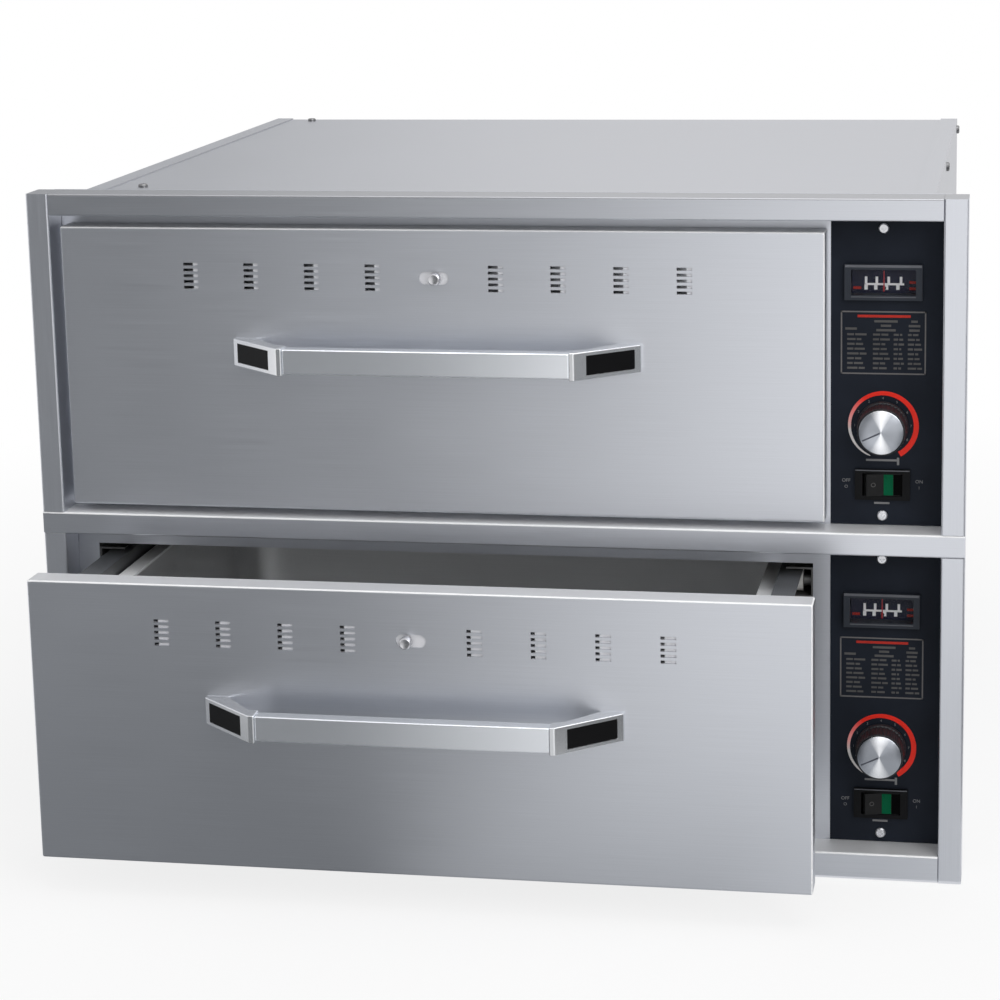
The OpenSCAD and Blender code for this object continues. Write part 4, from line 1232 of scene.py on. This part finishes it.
# %% Set up the cards and softboxes
CARD_LIFT = 2 * MM
GRADE_EYE = (0.42, 1.69)
GRADE_STEPS = (-1.6, -0.78, -0.62, -0.5, -0.38, -0.24, -0.14, -0.07, 0.1)
GRADE_PLACES = ((-0.3, CARD_LIFT), (-0.9, CARD_LIFT), (-1.8, CARD_LIFT), (-4.5, CARD_LIFT), (-4.5, 3.0))
GRADE_NEAR = (1.0, 1.0, 1.0, 0.4, 0.22, 0.2, 0.34, 0.54, 1.0)
GRADE_MID = (1.0, 1.0, 0.16, 0.16, 0.21, 0.18, 0.8, 0.84, 1.08)
GRADE_FAR = (1.0, 1.0, 0.11, 0.11, 0.22, 0.19, 1.0, 1.3, 1.24)
GRADE_BACK = (1.0, 1.0, 0.11, 0.11, 0.25, 0.12, 0.5, 1.3, 1.24)
SIDE_PLACES = ((0.5, 0.25), (0.52, -1.1), (0.95, -2.4))
SIDE_TONE = 0.26
SIDE_REACH = 2.9
SIDE_RISE = 0.9
FLAG_SIDE = 0.42
FLAG_SPAN = (-0.46, -0.66)
FLAG_TOP = 0.11
FLAG_TONE = 0.12
REAR_BACK = 4.5
REAR_TOP = 4.0
REAR_STEPS = (-6.0, -1.9, -1.0, -0.5)
REAR_TONES = (0.5, 0.5, 0.95, 1.0)
COOL = 0.05
OVERHEAD_POWER = 28
KEY_POWER = 28


def card_finish(name):
    """A card that shows the tone kept on its points."""
    finish, tree, _ = blank_finish(name)
    tone = add_node(tree, "VertexColor", layer_name="tone").outputs["Color"]
    glow = add_node(tree, "Emission", {"Color": tone})
    feed(tree, tree.nodes["Material Output"], {"Surface": glow.outputs["Emission"]})
    return finish


def reflector(name, rows, tones):
    """A card from rows of points with a grey tone each, seen only in reflections."""
    bm = bmesh.new()
    layer = bm.verts.layers.float_color.new("tone")
    grid = []
    for row, greys in zip(rows, tones):
        line = [bm.verts.new(point) for point in row]
        for vert, grey in zip(line, greys):
            cool = COOL * max(0, 1 - grey)
            vert[layer] = (grey * (1 - cool), grey, grey * (1 + cool), 1)
        grid.append(line)
    for near, far in zip(grid, grid[1:]):
        for k in range(len(near) - 1):
            bm.faces.new((near[k], near[k + 1], far[k + 1], far[k]))
    card = stage_piece(name, bm, card_finish(name))
    for ray in ("visible_camera", "visible_diffuse", "visible_shadow", "visible_transmission"):
        setattr(card, ray, False)


def softbox(name, place, aim, size, power):
    """A square area light turned to a point."""
    lamp = bpy.data.lights.new(name, "AREA")
    lamp.shape = "SQUARE"
    lamp.size = size
    lamp.energy = power
    holder = bpy.data.objects.new(name, lamp)
    holder.location = place
    holder.rotation_euler = (Vector(aim) - Vector(place)).to_track_quat("-Z", "Y").to_euler()
    scene.collection.objects.link(holder)


rows = []
for y, z in GRADE_PLACES:
    rows.append([(GRADE_EYE[0] + step * (GRADE_EYE[1] - y), y, z) for step in GRADE_STEPS])
reflector("graded card", rows, (GRADE_NEAR, GRADE_MID, GRADE_FAR, GRADE_BACK, GRADE_BACK))
low = 2 * CARD_LIFT
rows = [[(x, y, low), (SIDE_REACH, y, low), (SIDE_REACH, y, SIDE_RISE)] for x, y in SIDE_PLACES]
reflector("side card", rows, [[SIDE_TONE] * 3] * 3)
rows = [[(FLAG_SIDE, y, z) for y in FLAG_SPAN] for z in (low, FLAG_TOP)]
reflector("handle flag", rows, [[FLAG_TONE] * 2] * 2)
rows = [[(x, REAR_BACK, z) for x in REAR_STEPS] for z in (0.0, REAR_TOP)]
reflector("rear card", rows, (REAR_TONES, REAR_TONES))
softbox("overhead", (0.5, -0.5, 2.6), (0, 0, 0.3), 2.2, OVERHEAD_POWER)
softbox("front right", (1.9, -2.4, 1.8), (0.1, -0.2, 0.3), 1.5, KEY_POWER)

# %% [markdown]
# ## Camera
# The view is from the front, a little to the right and above, through a long lens, so that the trim
# stays nearly square. The place, the turn and the lens were fitted to the corners of the trim and the
# drawers. The lens is shifted a little, because the warmer does not sit in the middle of the frame.

# %% Place the camera
CAMERA_PLACE = (0.4204, -2.3237, 0.8149)
CAMERA_YAW = 10.0
CAMERA_PITCH = -11.0
CAMERA_ROLL = 1.0
CAMERA_LENS = 95.19
CAMERA_SHIFT = (-0.07, -0.14)

camera_data = bpy.data.cameras.new("camera")
camera_data.sensor_width = 36.0
camera_data.lens = CAMERA_LENS
camera_data.shift_x, camera_data.shift_y = CAMERA_SHIFT
camera = bpy.data.objects.new("camera", camera_data)
turn = Matrix.Rotation(math.radians(CAMERA_YAW), 4, "Z")
turn = turn @ Matrix.Rotation(math.radians(CAMERA_PITCH), 4, "X")
turn = turn @ Matrix.Rotation(math.radians(CAMERA_ROLL), 4, "Y")
camera.matrix_world = Matrix.Translation(CAMERA_PLACE) @ turn @ Matrix.Rotation(math.radians(90), 4, "X")
scene.collection.objects.link(camera)
scene.camera = camera
print("camera looks along", [round(v, 3) for v in turn @ Vector((0, 1, 0))])
